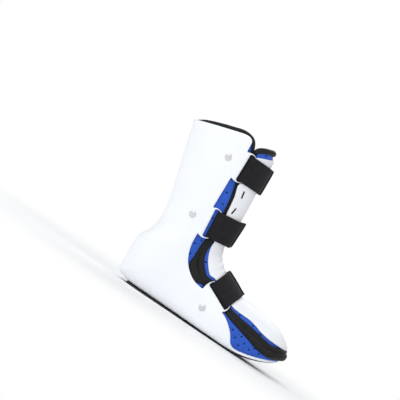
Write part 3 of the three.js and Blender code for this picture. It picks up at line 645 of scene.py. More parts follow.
def loop_sides(loops):
    """Pairs of neighbours along the loops, numbered on from loop to loop."""
    sides = []
    start = 0
    for loop in loops:
        sides += [(start + i, start + (i + 1) % len(loop)) for i in range(len(loop))]
        start += len(loop)
    return sides


def fill(loops, spacing):
    """Points and triangles that fill the first loop around the others, and their distances from it."""
    points = np.concatenate([*loops, grid_in(loops, spacing)])
    made = geometry.delaunay_2d_cdt([Vector(p) for p in points], loop_sides(loops), [], 0, 1e-7, True)
    index = np.array([old[0] if old else -1 for old in made[3]])
    faces = np.array([index[list(face)] for face in made[2]])
    faces = faces[(faces >= 0).all(1)]
    faces = faces[inside_loops(points[faces].mean(1), loops)]
    rim = near_points(loops[0])
    distance = np.array([rim.find((x, y, 0))[2] for x, y in points])
    return points, faces, distance


def on_seam(loop):
    """True for the points of a pattern's loop where its two sides meet at the tip of the toe."""
    return loop[:, 1] == 0


def seam_ends(loop):
    """Each end of the seam in a pattern's loop, with its neighbour on the free edge."""
    seam = np.flatnonzero(on_seam(loop))
    return [(seam[0], seam[0] - 1), (seam[-1], (seam[-1] + 1) % len(loop))] if len(seam) else []


def inset(loop, distance, hole):
    """Loop moved into the body by a distance, so that its round rim ends at the true edge."""
    run = np.roll(loop, -1, 0) - np.roll(loop, 1, 0)
    left = unit(np.stack([-run[:, 1], run[:, 0]], axis=1))
    after = np.roll(loop, -1, 0)
    turns_left = np.sum(loop[:, 0] * after[:, 1] - loop[:, 1] * after[:, 0]) > 0
    moved = loop + left * (distance if turns_left != hole else -distance)
    moved = np.where(on_seam(loop)[:, None], loop, moved)
    for end, neighbour in seam_ends(loop):
        moved[end, 0] = moved[neighbour, 0]
    return moved


def rim_outward(top, bottom, faces, ids):
    """Directions out of the body along a loop of its edge."""
    middle = (top[ids] + bottom[ids]) / 2
    run = np.roll(middle, -1, 0) - np.roll(middle, 1, 0)
    out = unit(np.cross(run, top[ids] - bottom[ids]))
    tree = near_points(top[faces[np.isin(faces, ids).any(1)]].mean(1))
    body = np.array([tree.find(Vector(point))[0] for point in top[ids]]) - top[ids]
    return -out if np.sum(body * out) > 0 else out


class Wall:
    """Mesh under construction: two surfaces over one pattern, then the rims between them."""

    def __init__(self, flat, triangles, top, bottom):
        self.triangles = triangles
        self.top = top
        self.bottom = bottom
        self.count = len(flat)
        self.points = [top, bottom]
        self.patterns = [flat, flat]
        self.faces = [tuple(face) for face in triangles]
        self.faces += [tuple(face[::-1] + self.count) for face in triangles]
        self.shades = [0] * len(self.faces)
        self.total = 2 * self.count

    def add(self, points, pattern):
        """Adds points and returns their numbers."""
        self.points.append(points)
        self.patterns.append(pattern)
        self.total += len(points)
        return np.arange(self.total - len(points), self.total)

    def outward(self, loop, ids, bulge):
        """How far the rim stands out at each point of its loop, drawn together at the seam."""
        out = rim_outward(self.top, self.bottom, self.triangles, ids) * bulge
        out[on_seam(loop)] = 0
        for end, neighbour in seam_ends(loop):
            out[end] = out[neighbour] * [1, 0, 1]
        return out

    def band(self, a, b, seam, shade):
        """Faces between two rings, left out along the seam."""
        for i in range(len(a)):
            j = (i + 1) % len(a)
            if not (seam[i] and seam[j]):
                self.faces.append((a[i], a[j], b[j], b[i]))
                self.shades.append(shade)

    def floor(self, ring, places, loop):
        """Bottom of a small hole: a cap in the hole_shadow material, painted shade."""
        centre = self.add(places.mean(0, keepdims=True), loop.mean(0, keepdims=True))[0]
        self.faces += [(ring[i], ring[i - 1], centre) for i in range(len(ring))]
        self.shades += [1] * len(ring)

    def rim(self, loop, ids, bulge, dark):
        """Round rim along a loop, or the walls and floors of a small hole from both sides if it is dark, in
        painted shade.
        """
        middle = (self.top[ids] + self.bottom[ids]) / 2
        up = (self.top[ids] - self.bottom[ids]) / 2
        out = self.outward(loop, ids, bulge)
        angles = [math.pi * step / RIM_STEPS for step in range(RIM_STEPS + 1)]
        places = [middle + up * math.cos(angle) + out * math.sin(angle) for angle in angles]
        rings = [ids] + [self.add(spots, loop) for spots in places[1:-1]] + [ids + self.count]
        half = RIM_STEPS // 2
        for step, (a, b) in enumerate(zip(rings, rings[1:])):
            if not (dark and step == half):
                self.band(a, b, on_seam(loop), int(dark))
        if dark:
            self.floor(rings[half], places[half], loop)
            self.floor(rings[half + 1], places[half + 1], loop)


def wall_piece(name, loops, outer, inner, spacing, bulge, finish, dark=()):
    """Wall between two surfaces over a filled pattern, with rims; dark lists the loops of small holes."""
    bulges = [0 if k in dark else SLOT_RIM if k else bulge for k in range(len(loops))]
    loops = [inset(loop, bulges[k], k > 0) for k, loop in enumerate(loops)]
    flat, triangles, distance = fill(loops, spacing)
    wall = Wall(flat, triangles, outer(flat, distance), inner(flat, distance))
    start = 0
    for k, loop in enumerate(loops):
        wall.rim(loop, np.arange(start, start + len(loop)), bulges[k], k in dark)
        start += len(loop)
    patterns = np.concatenate(wall.patterns)
    return make_piece(name, np.concatenate(wall.points), wall.faces, patterns, finish, wall.shades)


def swept_piece(name, rings, flat, closed, finish):
    """Skin over rings of equal length, closed on itself or capped at both ends."""
    width = len(rings[0])
    points = list(np.concatenate(rings))
    patterns = list(np.concatenate(flat))
    faces = []
    for i in range(len(rings) if closed else len(rings) - 1):
        here, after = i * width, (i + 1) % len(rings) * width
        for j in range(width):
            k = (j + 1) % width
            faces.append((here + j, after + j, after + k, here + k))
    if not closed:
        for start in (0, (len(rings) - 1) * width):
            points.append(np.mean(points[start : start + width], axis=0))
            patterns.append(np.mean(patterns[start : start + width], axis=0))
            faces += [(start + j, start + (j + 1) % width, len(points) - 1) for j in range(width)]
    return make_piece(name, points, faces, patterns, finish)


# Materials

class Paint:
    """A material under construction: short calls to add nodes."""

    def __init__(self, name, color, roughness, metallic=0.0):
        self.material = bpy.data.materials.new(name)
        self.material.use_nodes = True
        self.tree = self.material.node_tree
        self.shader = self.tree.nodes["Principled BSDF"]
        self.set(Base_Color=(*color, 1), Roughness=roughness, Metallic=metallic)
        self.color = color

    def feed(self, socket, value):
        """Links a socket to another one, or sets its value."""
        if isinstance(value, bpy.types.NodeSocket):
            self.tree.links.new(value, socket)
        else:
            socket.default_value = value

    def node(self, kind, **inputs):
        node = self.tree.nodes.new(kind)
        for name, value in inputs.items():
            self.feed(node.inputs[name.replace("_", " ")], value)
        return node

    def pattern(self):
        node = self.tree.nodes.new("ShaderNodeUVMap")
        node.uv_map = "pattern"
        return node.outputs["UV"]

    def place(self):
        return self.tree.nodes.new("ShaderNodeTexCoord").outputs["Object"]

    def noise(self, vector, scale, detail=3.0):
        return self.node("ShaderNodeTexNoise", Vector=vector, Scale=scale, Detail=detail).outputs["Fac"]

    def math(self, operation, a, b):
        node = self.tree.nodes.new("ShaderNodeMath")
        node.operation = operation
        self.feed(node.inputs[0], a)
        self.feed(node.inputs[1], b)
        return node.outputs[0]

    def set(self, **inputs):
        """Sets values of the shader."""
        for name, value in inputs.items():
            self.shader.inputs[name.replace("_", " ")].default_value = value

    def tint(self, factor, dark, light):
        """Colour that varies between two shares of the base colour."""
        ramp = self.tree.nodes.new("ShaderNodeValToRGB")
        for stop, place, share in zip(ramp.color_ramp.elements, TINT_STOPS, (dark, light)):
            stop.position = place
            stop.color = (*[c * share for c in self.color], 1)
        self.tree.links.new(factor, ramp.inputs[0])
        self.tree.links.new(ramp.outputs[0], self.shader.inputs["Base Color"])

    def rough(self, factor, low, high):
        node = self.node("ShaderNodeMapRange", To_Min=low, To_Max=high)
        self.tree.links.new(factor, node.inputs["Value"])
        self.tree.links.new(node.outputs["Result"], self.shader.inputs["Roughness"])

    def bump(self, height, distance, strength=1.0):
        node = self.node("ShaderNodeBump", Height=height, Distance=distance, Strength=strength)
        before = self.shader.inputs["Normal"]
        if before.is_linked:
            self.tree.links.new(before.links[0].from_socket, node.inputs["Normal"])
        self.tree.links.new(node.outputs[0], before)


def shell_paint():
    paint = Paint("shell_plastic", (0.90, 0.922, 0.955), 0.38)
    place = paint.place()
    paint.tint(paint.noise(place, 9, 2), 0.985, 1.0)
    paint.rough(paint.noise(place, 60), 0.32, 0.46)
    paint.bump(paint.noise(place, 420, 2), 0.0002, 0.25)
    paint.bump(paint.noise(place, 28, 2), 0.0012, 0.25)
    paint.set(Subsurface_Weight=0.05, Subsurface_Radius=(0.004, 0.004, 0.004))
    return paint.material


def cover_paint():
    paint = Paint("cover_plastic", (0.885, 0.895, 0.928), 0.5)
    place = paint.place()
    paint.tint(paint.noise(place, 25), 0.95, 1.0)
    paint.rough(paint.noise(place, 120), 0.42, 0.58)
    grain = paint.node("ShaderNodeTexVoronoi", Vector=place, Scale=700).outputs["Distance"]
    paint.bump(grain, 0.0002, 0.25)
    paint.bump(paint.noise(place, 45, 3), 0.0015, 0.35)
    return paint.material


def foam_paint():
    paint = Paint("liner_foam", (0.029, 0.108, 0.55), 0.82)
    pattern = paint.pattern()
    paint.tint(paint.noise(pattern, 12, 4), 0.86, 1.08)
    knit = paint.node("ShaderNodeTexVoronoi", Vector=pattern, Scale=110).outputs["Distance"]
    paint.bump(knit, 0.0004, 0.5)
    paint.bump(paint.noise(pattern, 7, 3), 0.0012, 0.4)
    paint.set(Sheen_Weight=0.14, Sheen_Roughness=0.5, Specular_IOR_Level=0.2)
    return paint.material


def binding_paint():
    paint = Paint("edge_fabric", (0.0088, 0.0086, 0.0088), 0.6)
    pattern = paint.pattern()
    paint.tint(paint.noise(pattern, 9, 4), 0.75, 1.35)
    knit = paint.node("ShaderNodeTexVoronoi", Vector=pattern, Scale=120).outputs["Distance"]
    paint.bump(knit, 0.0003, 0.5)
    paint.bump(paint.noise(pattern, 16, 3), 0.0014, 0.5)
    paint.set(Sheen_Weight=0.03, Sheen_Roughness=0.4, Specular_IOR_Level=0.25)
    return paint.material


def webbing_paint():
    paint = Paint("webbing", (0.0105, 0.0103, 0.0125), 0.85)
    pattern = paint.pattern()
    split = paint.node("ShaderNodeSeparateXYZ", Vector=pattern)
    rib = paint.math("SINE", paint.math("MULTIPLY", split.outputs["X"], 2 * math.pi * WEAVE_RIBS), 0.0)
    cross = paint.math("SINE", paint.math("MULTIPLY", split.outputs["Y"], 2 * math.pi * WEAVE_ROWS), 0.0)
    weave = paint.math("ADD", paint.math("MULTIPLY", rib, cross), paint.math("MULTIPLY", rib, 0.4))
    paint.tint(paint.noise(pattern, 14, 4), 0.8, 1.25)
    paint.bump(weave, 0.00025, 0.45)
    paint.set(Sheen_Weight=0.03, Sheen_Roughness=0.5, Specular_IOR_Level=0.25)
    return paint.material


def metal_paint():
    paint = Paint("rivet_metal", (0.74, 0.74, 0.75), 0.38, 0.95)
    place = paint.place()
    paint.rough(paint.noise(place, 500, 2), 0.28, 0.42)
    paint.bump(paint.noise(place, 900, 2), 0.0001, 0.2)
    return paint.material


def shadow_paint():
    """Painted shade inside the perforations and slits."""
    paint = Paint("hole_shadow", (0.004, 0.004, 0.006), 0.95)
    paint.tint(paint.noise(paint.place(), 300), 0.6, 1.4)
    return paint.material


def rubber_paint():
    paint = Paint("outsole_rubber", (0.035, 0.032, 0.030), 0.82)
    place = paint.place()
    paint.tint(paint.noise(place, 40), 0.8, 1.25)
    paint.bump(paint.noise(place, 600, 2), 0.0004, 0.5)
    return paint.material


# Pieces

def slot_frame(strap):
    """Function from distances down and ahead of the slot's middle to the side view."""
    top, low = (np.array(end, float) for end in (STRAPS[strap].top, STRAPS[strap].low))
    along = unit(low - top)
    ahead = np.array([-along[1], along[0]])
    middle = (top + low) / 2
    return lambda down, forward: middle + along * down + ahead * forward


def tab_path(strap):
    """Edge of a tab with bowed ends, from its top corner round the front to its low corner."""
    at = slot_frame(strap)
    end = STRAP_WIDTH / 2 + SLOT_PLAY
    front = SLOT_WIDE + TAB_BAR
    first = bow(at(-end, -STRAPS[strap].behind_top), at(-end - TAB_BOW, 1), at(-end, front))
    last = bow(at(end, front), at(end + TAB_BOW, 1), at(end, -STRAPS[strap].behind_low))
    return np.concatenate([first, last])


def slot_loop(strap):
    """Edge of a slot with bowed ends."""
    at = slot_frame(strap)
    end = STRAP_WIDTH / 2 + SLOT_PLAY
    first = bow(at(-end, 0), at(-end - SLOT_BOW, SLOT_WIDE / 2), at(-end, SLOT_WIDE))
    last = bow(at(end, SLOT_WIDE), at(end + SLOT_BOW, SLOT_WIDE / 2), at(end, 0))
    return soften(resample(np.concatenate([first, last]), SLOT_STEP, True), 1)


def hole_loop(spot):
    """Edge of a perforation."""
    turn = np.linspace(0, 2 * math.pi, HOLE_SIDES, endpoint=False)
    return np.stack([spot[0] + PERFORATION * np.cos(turn), spot[1] + PERFORATION * np.sin(turn)], axis=1)


def to_pattern(pattern, path, depth):
    place, turn = locate(path, pattern.tip, depth)
    return pattern.flat(place, turn)


def mirrored(half):
    return half * [-1, 1]


def both_sides(pattern, path, depth, spacing):
    """Closed loop on the pattern from a side view path from top to toe."""
    half = to_pattern(pattern, resample(path, FINE_STEP, False), depth)
    loop = np.concatenate([half, mirrored(half[::-1])])
    loop = soften(resample(loop, spacing, True), EDGE_SOFT)
    loop[loop[:, 1] < TOE_SEAM, 1] = 0
    for end, neighbour in seam_ends(loop):
        loop[end, 0] = loop[neighbour, 0]
    return loop


def pierced(pattern, loops, depth):
    """Hole loops of the side view on both sides of the pattern."""
    found = [to_pattern(pattern, loop, depth) for loop in loops]
    return found + [mirrored(loop[::-1]) for loop in found]


def shell_path():
    """Edge of the shell in the side view from the top of its back to its toe."""
    upper, middle, lower = (tab_path(strap) for strap in STRAPS)
    strip_x = np.append(np.arange(STRIP_START, SHELL_TIP - 1, STRIP_STEP), SHELL_TIP + STRIP_PAST)
    strip = np.stack([strip_x, SHELL_BOTTOM + spring(strip_x) + SOLE_STRIP], axis=1)
    return np.concatenate([
        TOP_EDGE,
        bow(TOP_EDGE[-1], TOP_ROUND, FRONT_TOP),
        upper,
        middle,
        thread([middle[-1], *ANKLE_EDGE, lower[0]], SHELL_PATH_STEP),
        lower,
        thread([lower[-1], *TOE_EDGE, *strip], SHELL_PATH_STEP),
    ])


def level(pattern, depth):
    """Surface at one depth over a pattern."""
    return lambda flat, distance: pattern.lift(flat, depth)


def make_shell(paint):
    pattern = Pattern(SHELL_TIP, False)
    middle = SHELL_WALL / 2
    edge = both_sides(pattern, shell_path(), middle, EDGE_STEP)
    slots = pierced(pattern, [slot_loop(strap) for strap in STRAPS], middle)
    outer, inner = level(pattern, 0), level(pattern, SHELL_WALL)
    finish = Finish(paint, "shell", "shell_plastic")
    return wall_piece("shell_moulding", [edge, *slots], outer, inner, FILL_STEP, SHELL_RIM, finish)


def roll_rows(table):
    """Rows of a roll's table; a row that gives no half width is round."""
    return np.array([row if len(row) == 5 else [*row, row[3]] for row in table], float)


def foam_path(table, way, ends):
    """Edge of foam from its top to the toe, tucked into its roll's tongue side (1) or liner side (-1)."""
    rows = roll_rows(table)
    run = unit(np.gradient(rows[:, :2], axis=0))
    far = way * (rows[:, 4] - ROLL_TUCK)
    edge = np.stack([rows[:, 0] + run[:, 1] * far, rows[:, 1] - run[:, 0] * far], axis=1)
    return np.concatenate([ends[:1], thread(edge[::-1], PATH_STEP), ends[1:]])


def pocket_share(points):
    """How far the liner is pressed in under the strap ends, from 0 to 1."""
    share = np.zeros(len(points))
    for strap in [name for name in STRAPS if STRAPS[name].pocket]:
        at = slot_frame(strap)
        middle, down, ahead = at(0, 0), at(1, 0) - at(0, 0), at(0, 1) - at(0, 0)
        spot = points[:, [0, 2]] - middle
        along, forward = spot @ down, spot @ ahead
        inside = np.minimum(forward + POCKET_BEHIND, POCKET_AHEAD - forward)
        inside = np.minimum(inside, STRAP_WIDTH / 2 + POCKET_BESIDE - abs(along))
        share = np.maximum(share, np.clip(inside / POCKET_SLOPE + 0.5, 0, 1))
    return share


def pillow(distance):
    """How far foam is drawn in towards its bound edge, from 0 to 1."""
    return np.clip(1 - distance / PILLOW_REACH, 0, 1) ** 2


def make_foam(name, node, pattern, path, spots, outside, drawn, paint):
    """Perforated foam; drawn tells how far its outside is drawn in, by place and distance from the edge."""
    loop = both_sides(pattern, path, outside, FOAM_EDGE_STEP)
    holes = pierced(pattern, [hole_loop(spot) for spot in spots], outside)
    dark = range(1, len(holes) + 1)

    def outer(flat, distance):
        return pattern.lift(flat, outside + drawn(flat, distance))

    inner = level(pattern, LINER_INSIDE)
    finish = Finish(paint, node, "liner_foam")
    piece = wall_piece(name, [loop, *holes], outer, inner, FILL_STEP, FOAM_RIM, finish, dark)
    return piece


def make_liner(paint):
    pattern = Pattern(FOOT_TIP, False)

    def drawn(flat, distance):
        pressed = (POCKET_DEPTH - LINER_OUTSIDE) * pocket_share(pattern.lift(flat, LINER_OUTSIDE))
        return np.maximum(pressed, LINER_PILLOW * pillow(distance))

    path = foam_path(LINER_ROLL, -1, LINER_ENDS)
    return make_foam("liner_foam", "liner", pattern, path, LINER_HOLES, LINER_OUTSIDE, drawn, paint)


def make_pad(paint):
    pattern = Pattern(TONGUE_TIP, True)

    def drawn(flat, distance):
        return PAD_PILLOW * pillow(distance)

    path = foam_path(TONGUE_ROLL, 1, PAD_ENDS)
    return make_foam("tongue_foam", "tongue_pad", pattern, path, PAD_HOLES, PAD_OUTSIDE, drawn, paint)


def slit_loop(slit):
    """Edge of a slit round the line between its ends."""
    top, low = (np.array(end, float) for end in slit)
    run = unit(low - top)
    aside = np.array([-run[1], run[0]]) * SLIT_WIDE / 2
    corners = [top + aside, low + aside, low - aside, top - aside]
    return soften(resample(corners, SLIT_STEP, True), EDGE_SOFT)


def bend_folds(pattern):
    """Depth of the folds across the plate's ankle bend, from its pattern."""
    rows = []
    for x, z, reach, deep, wide in BEND_FOLDS:
        place, turn = locate([(x, z)], pattern.tip, 0)
        rows.append((pattern.flat(place, turn)[0, 1], reach, deep, wide))

    def depth(flat):
        height, length, start = FOLD_SWAY
        around = flat[:, 0]
        total = np.zeros(len(flat))
        for k, (along, reach, deep, wide) in enumerate(rows):
            wave = height * np.sin(around / length + start * k) + FOLD_SAG * np.abs(around)
            away = (flat[:, 1] - along - wave) / wide
            total += deep * np.exp(-away * away) * np.exp(-((around / reach) ** 4))
        return total

    return depth


def make_plate(paint):
    pattern = Pattern(TONGUE_TIP, True)
    path = np.concatenate([PLATE_TOP, thread(PLATE_EDGE, PATH_STEP)])
    loop = both_sides(pattern, path, PLATE_WALL / 2, EDGE_STEP)
    slits = pierced(pattern, [slit_loop(slit) for slit in SLITS], PLATE_WALL / 2)
    dark = range(1, len(slits) + 1)
    folds = bend_folds(pattern)

    def outer(flat, distance):
        return pattern.lift(flat, folds(flat))

    def inner(flat, distance):
        return pattern.lift(flat, PLATE_WALL + folds(flat) * FOLD_INSIDE)

    finish = Finish(paint, "tongue_plate", "cover_plastic")
    return wall_piece("tongue_cover", [loop, *slits], outer, inner, PLATE_STEP, PLATE_RIM, finish, dark)


def ridge_row(pattern, ridge):
    """Row of a roll where it crosses the back or front line at a height."""
    height, depth, radius = ridge
    shaft = pattern.places >= SHAFT_START
    places = pattern.places[shaft]
    heights = pattern.skin(places, np.zeros_like(places), 0)[:, 2]
    place = np.interp(height, heights, places)
    return [0, np.interp(place, pattern.places, pattern.along), depth, radius, radius]


def roll_path(pattern, table, toe, ridge):
    """Closed line of a roll on its pattern, with its depth, radius and half width."""
    line = thread(roll_rows(table), ROLL_ROW_STEP)
    place, turn = locate(line[:, :2], pattern.tip, line[:, 2])
    rows = np.concatenate([pattern.flat(place, turn), line[:, 2:]], axis=1)
    _, toe_turn = locate([(pattern.tip - toe[1], toe[0])], pattern.tip, toe[1])
    start = [[*pattern.flat(np.zeros(1), toe_turn)[0], *toe[1:], toe[2]]]
    half = thread(np.concatenate([start, rows, [ridge_row(pattern, ridge)]]), ROLL_STEP)
    path = np.concatenate([half, half[-2:0:-1] * [-1, 1, 1, 1, 1]])
    return np.roll(path, -int(ROLL_JOIN * len(half)), axis=0)


def roll_axes(spots, outs):
    """Directions across a roll and out of the boot along its line."""
    run = unit(np.roll(spots, -1, 0) - np.roll(spots, 1, 0))
    aside = unit(np.cross(run, outs))
    return aside, np.cross(aside, run)


def make_roll(name, pattern, table, toe, ridge, toward, paint, node):
    """Roll along a foam edge, pressed against the other roll on its heel side (1) or toe side (-1)."""
    path = roll_path(pattern, table, toe, ridge)
    spots = pattern.lift(path[:, :2], path[:, 2])
    outs = pattern.lift(path[:, :2], path[:, 2] - 1) - spots
    spots = soften(spots, EDGE_SOFT)
    aside, up = roll_axes(spots, outs)
    way = lengths_along(spots)
    turns = np.linspace(0, 2 * math.pi, ROLL_SIDES, endpoint=False)
    rings, flat = [], []
    for i, spot in enumerate(spots):
        wobble = 1 + sum(share * math.sin(way[i] / length + start) for share, length, start in ROLL_WOBBLE)
        radius, wide = path[i, 3:] * ROLL_SWELL * wobble
        meets = np.interp(spot[0], *ROLL_MEET) * (1 - smooth(*ROLL_FADE, spot[2]))
        reach = wide * np.where(np.sin(turns) * toward > 0, 1 + meets, 1) * np.sin(turns)
        rings.append(spot + np.outer(radius * np.cos(turns), up[i]) + np.outer(reach, aside[i]))
        flat.append(np.stack([turns * radius, np.full(ROLL_SIDES, way[i])], axis=1))
    piece = swept_piece(name, rings, flat, True, Finish(paint, node, "edge_fabric"))
    return piece


class Way:
    """Way round one section from its back, over the front and down the other side."""

    def __init__(self, place):
        self.place = place
        self.turns = turn_steps()
        line = points_at(np.full(len(self.turns), place), self.turns, 1, 0, FOOT_TIP)
        self.lengths = lengths_along(line)
        self.front = self.lengths[-1]

    def point(self, length, depth, side):
        past = length > self.front
        turn = np.interp(np.where(past, 2 * self.front - length, length), self.lengths, self.turns)
        place = np.full(len(length), self.place)
        return points_at(place, turn, np.where(past, -side, side), depth, FOOT_TIP)


def strap_way(strap, edge):
    """Way of a line along a strap, and where it passes its slot."""
    spot = slot_frame(strap)(edge * STRAP_WIDTH / 2, SLOT_WIDE / 2)
    place, turn = locate([spot], FOOT_TIP, 0)
    way = Way(place[0])
    return way, np.interp(turn[0], way.turns, way.lengths)


def strap_stations(strap, over):
    """Strap from its end inside to its free end: share of the way to the front, extra length, depth."""
    rows = [(0, ahead, depth) for ahead, depth in (SLOT_RUN if STRAPS[strap].pocket else FOAM_RUN)]
    shares = [i * LAY_STEP for i in range(1, OVER_LAYS if over else UNDER_LAYS)]
    rows += [(share, LAY_SLACK * (1 - share), LAYER_UNDER) for share in shares]
    if over:
        rows += OVER_CLIMB
        rows += [(share, 0, LAYER_OVER) for share in OVER_SHARES]
        rows += [(1, OVER_END, LAYER_OVER)]
    else:
        rows += [(1, i * UNDER_STEP, LAYER_UNDER) for i in range(UNDER_STEPS)]
    return np.array(rows, float)


def strap_line(strap, edge, side, dense, half):
    """Upper and lower line along a strap at a share of its half width, with the lengths along it."""
    way, slot = strap_way(strap, edge)
    length = slot + dense[:, 0] * (way.front - slot) + dense[:, 1]
    share = (length - slot) / (way.front - slot)
    depth = dense[:, 2] - STRAPS[strap].lift * smooth(*LIFT_SHARES, np.minimum(share, 2 - share))
    run = unit(np.stack([np.gradient(length), np.gradient(depth)], axis=1))
    ends = np.minimum(np.arange(len(length)), np.arange(len(length))[::-1])
    rounded = half * np.where(ends == 0, STRAP_END_THIN, 1)
    upper = way.point(length + run[:, 1] * rounded, depth - run[:, 0] * rounded, side)
    lower = way.point(length - run[:, 1] * rounded, depth + run[:, 0] * rounded, side)
    return upper, lower, length, share


def narrowed(lines, edges, scale):
    """Lines across a strap drawn in towards its middle by a scale at each station."""
    found = np.empty_like(lines)
    for i, part in enumerate(scale):
        for axis in range(3):
            found[i, :, axis] = np.interp(edges * part, edges, lines[i, :, axis])
    return found


def slipped_line(strap, edge, side, dense, half):
    """Line along the over half of a strap, which slips up at the front."""
    upper, lower, length, share = strap_line(strap, edge, side, dense, half)
    moved = strap_line(strap, edge - 2 * STRAPS[strap].slip / STRAP_WIDTH, side, dense, half)
    part = smooth(*SLIP_SHARES, share)[:, None]
    return upper + (moved[0] - upper) * part, lower + (moved[1] - lower) * part, length, share


def dense_stations(stations):
    """Smooth stations along a strap, closer together at its free end."""
    last = len(stations) - 1
    run = np.linspace(0, last - 1, STRAP_STEPS * (last - 1) + 1)
    fine = np.append(run, np.linspace(last - 1, last, STRAP_END_STEPS)[1:])
    columns = [np.stack([np.arange(last + 1), column], axis=1) for column in stations.T]
    return np.stack([curve(rows, fine) for rows in columns], axis=1)


def corner_scale(length):
    """Share of a strap's width at each length, for the round corners of its free end."""
    left = np.clip(STRAP_CORNER - (length[-1] - length), 0, STRAP_CORNER)
    return 1 - 2 * (STRAP_CORNER - np.sqrt(STRAP_CORNER**2 - left**2)) / STRAP_WIDTH


def make_strap(strap, side, word, paint):
    over = side > 0
    line = slipped_line if over else strap_line
    edges = np.sin(np.linspace(-1, 1, STRAP_LINES) * math.pi / 2)
    thick = STRAP_THICK / 2 * (1 - STRAP_EDGE_THIN * np.abs(edges) ** STRAP_EDGE_POWER)
    dense = dense_stations(strap_stations(strap, over))
    uppers, lowers, flats = [], [], []
    for edge, half in zip(edges, thick):
        upper, lower, length, _ = line(strap, edge, side, dense, half)
        uppers.append(upper)
        lowers.append(lower)
        flats.append(np.stack([np.full(len(length), edge * STRAP_WIDTH / 2), length], axis=1))
    scale = corner_scale(flats[STRAP_LINES // 2][:, 1])
    upper = narrowed(np.stack(uppers, 1), edges, scale)
    lower = narrowed(np.stack(lowers, 1), edges, scale)
    rings = np.concatenate([upper, lower[:, ::-1]], axis=1)
    pattern = np.stack(flats, 1)
    flat = np.concatenate([pattern, pattern[:, ::-1]], axis=1)
    finish = Finish(paint, f"strap_{strap}_{word}", "webbing")
    return swept_piece(f"webbing_{strap}_{word}", list(rings), list(flat), False, finish)


def rivet_axes(way, turn, side):
    """Directions out of the boot, across and upright at a rivet."""
    step, tilt = 0.1, 0.05

    def spot(place, angle):
        return points_at(np.array([way.place + place]), turn + angle, side, 0, FOOT_TIP)[0]

    out = unit(np.cross(spot(step, 0) - spot(-step, 0), spot(0, tilt) - spot(0, -tilt)) * side)
    across = unit(np.cross(out, [0, 0, 1.0]))
    return out, across, np.cross(across, out)


def rivet_profile():
    """Radius and height from the stem's foot inside the boot to the top of the head."""
    radius, foot, height = RIVET_DOME
    angles = np.linspace(0, math.pi / 2, RIVET_DOME_STEPS)[:-1]
    dome = [(radius * math.cos(a), foot + height * math.sin(a)) for a in angles]
    return [*RIVET_STEM, *RIVET_RIM, *dome, RIVET_TIP]


def make_rivet(strap, side, word, paint):
    way, slot = strap_way(strap, 0)
    length = np.array([slot - RIVET_BACK])
    seat = way.point(length, 0, side)[0]
    out, across, upright = rivet_axes(way, np.interp(length, way.lengths, way.turns), side)
    turns = np.linspace(0, 2 * math.pi, RIVET_SIDES, endpoint=False)
    spokes = np.outer(np.cos(turns), across) + np.outer(np.sin(turns), upright)
    circle = np.stack([np.cos(turns), np.sin(turns)], axis=1)
    rings = [seat + out * height + spokes * radius for radius, height in rivet_profile()]
    flat = [circle * radius for radius, height in rivet_profile()]
    finish = Finish(paint, f"rivet_{strap}_{word}", "rivet_metal")
    return swept_piece(f"rivet_head_{strap}_{word}", rings, flat, False, finish)


def make_outsole(paint):
    rows = thread(SOLE, SOLE_STEP)
    left = np.stack([rows[:, 0], rows[:, 2] - rows[:, 1]], axis=1)
    right = np.stack([rows[:, 0], rows[:, 2] + rows[:, 1]], axis=1)[::-1]
    loop = soften(resample(np.concatenate([left, right]), SOLE_EDGE_STEP, True), SOLE_SOFT)

    def upper(flat, distance):
        return np.stack([flat[:, 0], flat[:, 1], spring(flat[:, 0]) + OUTSOLE_THICK], axis=1)

    def lower(flat, distance):
        worn = 1 - SOLE_WEAR * np.clip(1 - distance / SOLE_WEAR_REACH, 0, 1) ** 2
        thick = np.interp(flat[:, 0], SOLE[:, 0], SOLE[:, 3]) * worn
        return upper(flat, distance) - np.outer(thick, [0, 0, 1])

    finish = Finish(paint, "outsole", "outsole_rubber")
    return wall_piece("outsole_sheet", [loop], lower, upper, SOLE_FILL_STEP, SOLE_RIM, finish)


# Stage, light and camera

def make_stage():
    mesh = bpy.data.meshes.new("floor")
    corners = [(-1, -1), (1, -1), (1, 1), (-1, 1)]
    mesh.from_pydata([(x * FLOOR_HALF, y * FLOOR_HALF, 0) for x, y in corners], [], [(0, 1, 2, 3)])
    floor = bpy.data.objects.new("floor", mesh)
    bpy.context.scene.collection.objects.link(floor)
    paint = Paint("floor_white", (0.9, 0.9, 0.9), 0.9)
    away = paint.node("ShaderNodeVectorMath", Vector=paint.place())
    away.operation = "LENGTH"
    reach = {"From_Min": FADE_START, "From_Max": FADE_END}
    fade = paint.node("ShaderNodeMapRange", Value=away.outputs["Value"], **reach)
    fade.interpolation_type = "SMOOTHSTEP"
    glow = paint.node("ShaderNodeEmission", Color=(1, 1, 1, 1), Strength=1.0)
    mix = paint.node("ShaderNodeMixShader")
    out = paint.tree.nodes["Material Output"]
    paint.tree.links.new(fade.outputs["Result"], mix.inputs[0])
    paint.tree.links.new(paint.shader.outputs[0], mix.inputs[1])
    paint.tree.links.new(glow.outputs[0], mix.inputs[2])
    paint.tree.links.new(mix.outputs[0], out.inputs["Surface"])
    mesh.materials.append(paint.material)


def make_light(name, place, size, energy):
    data = bpy.data.lights.new(name, "AREA")
    data.shape = "DISK"
    data.size = size
    data.energy = energy
    light = bpy.data.objects.new(name, data)
    light.location = place
    light.rotation_mode = "QUATERNION"
    light.rotation_quaternion = (Vector(LIGHT_AIM) - Vector(place)).to_track_quat("-Z", "Y")
    bpy.context.scene.collection.objects.link(light)


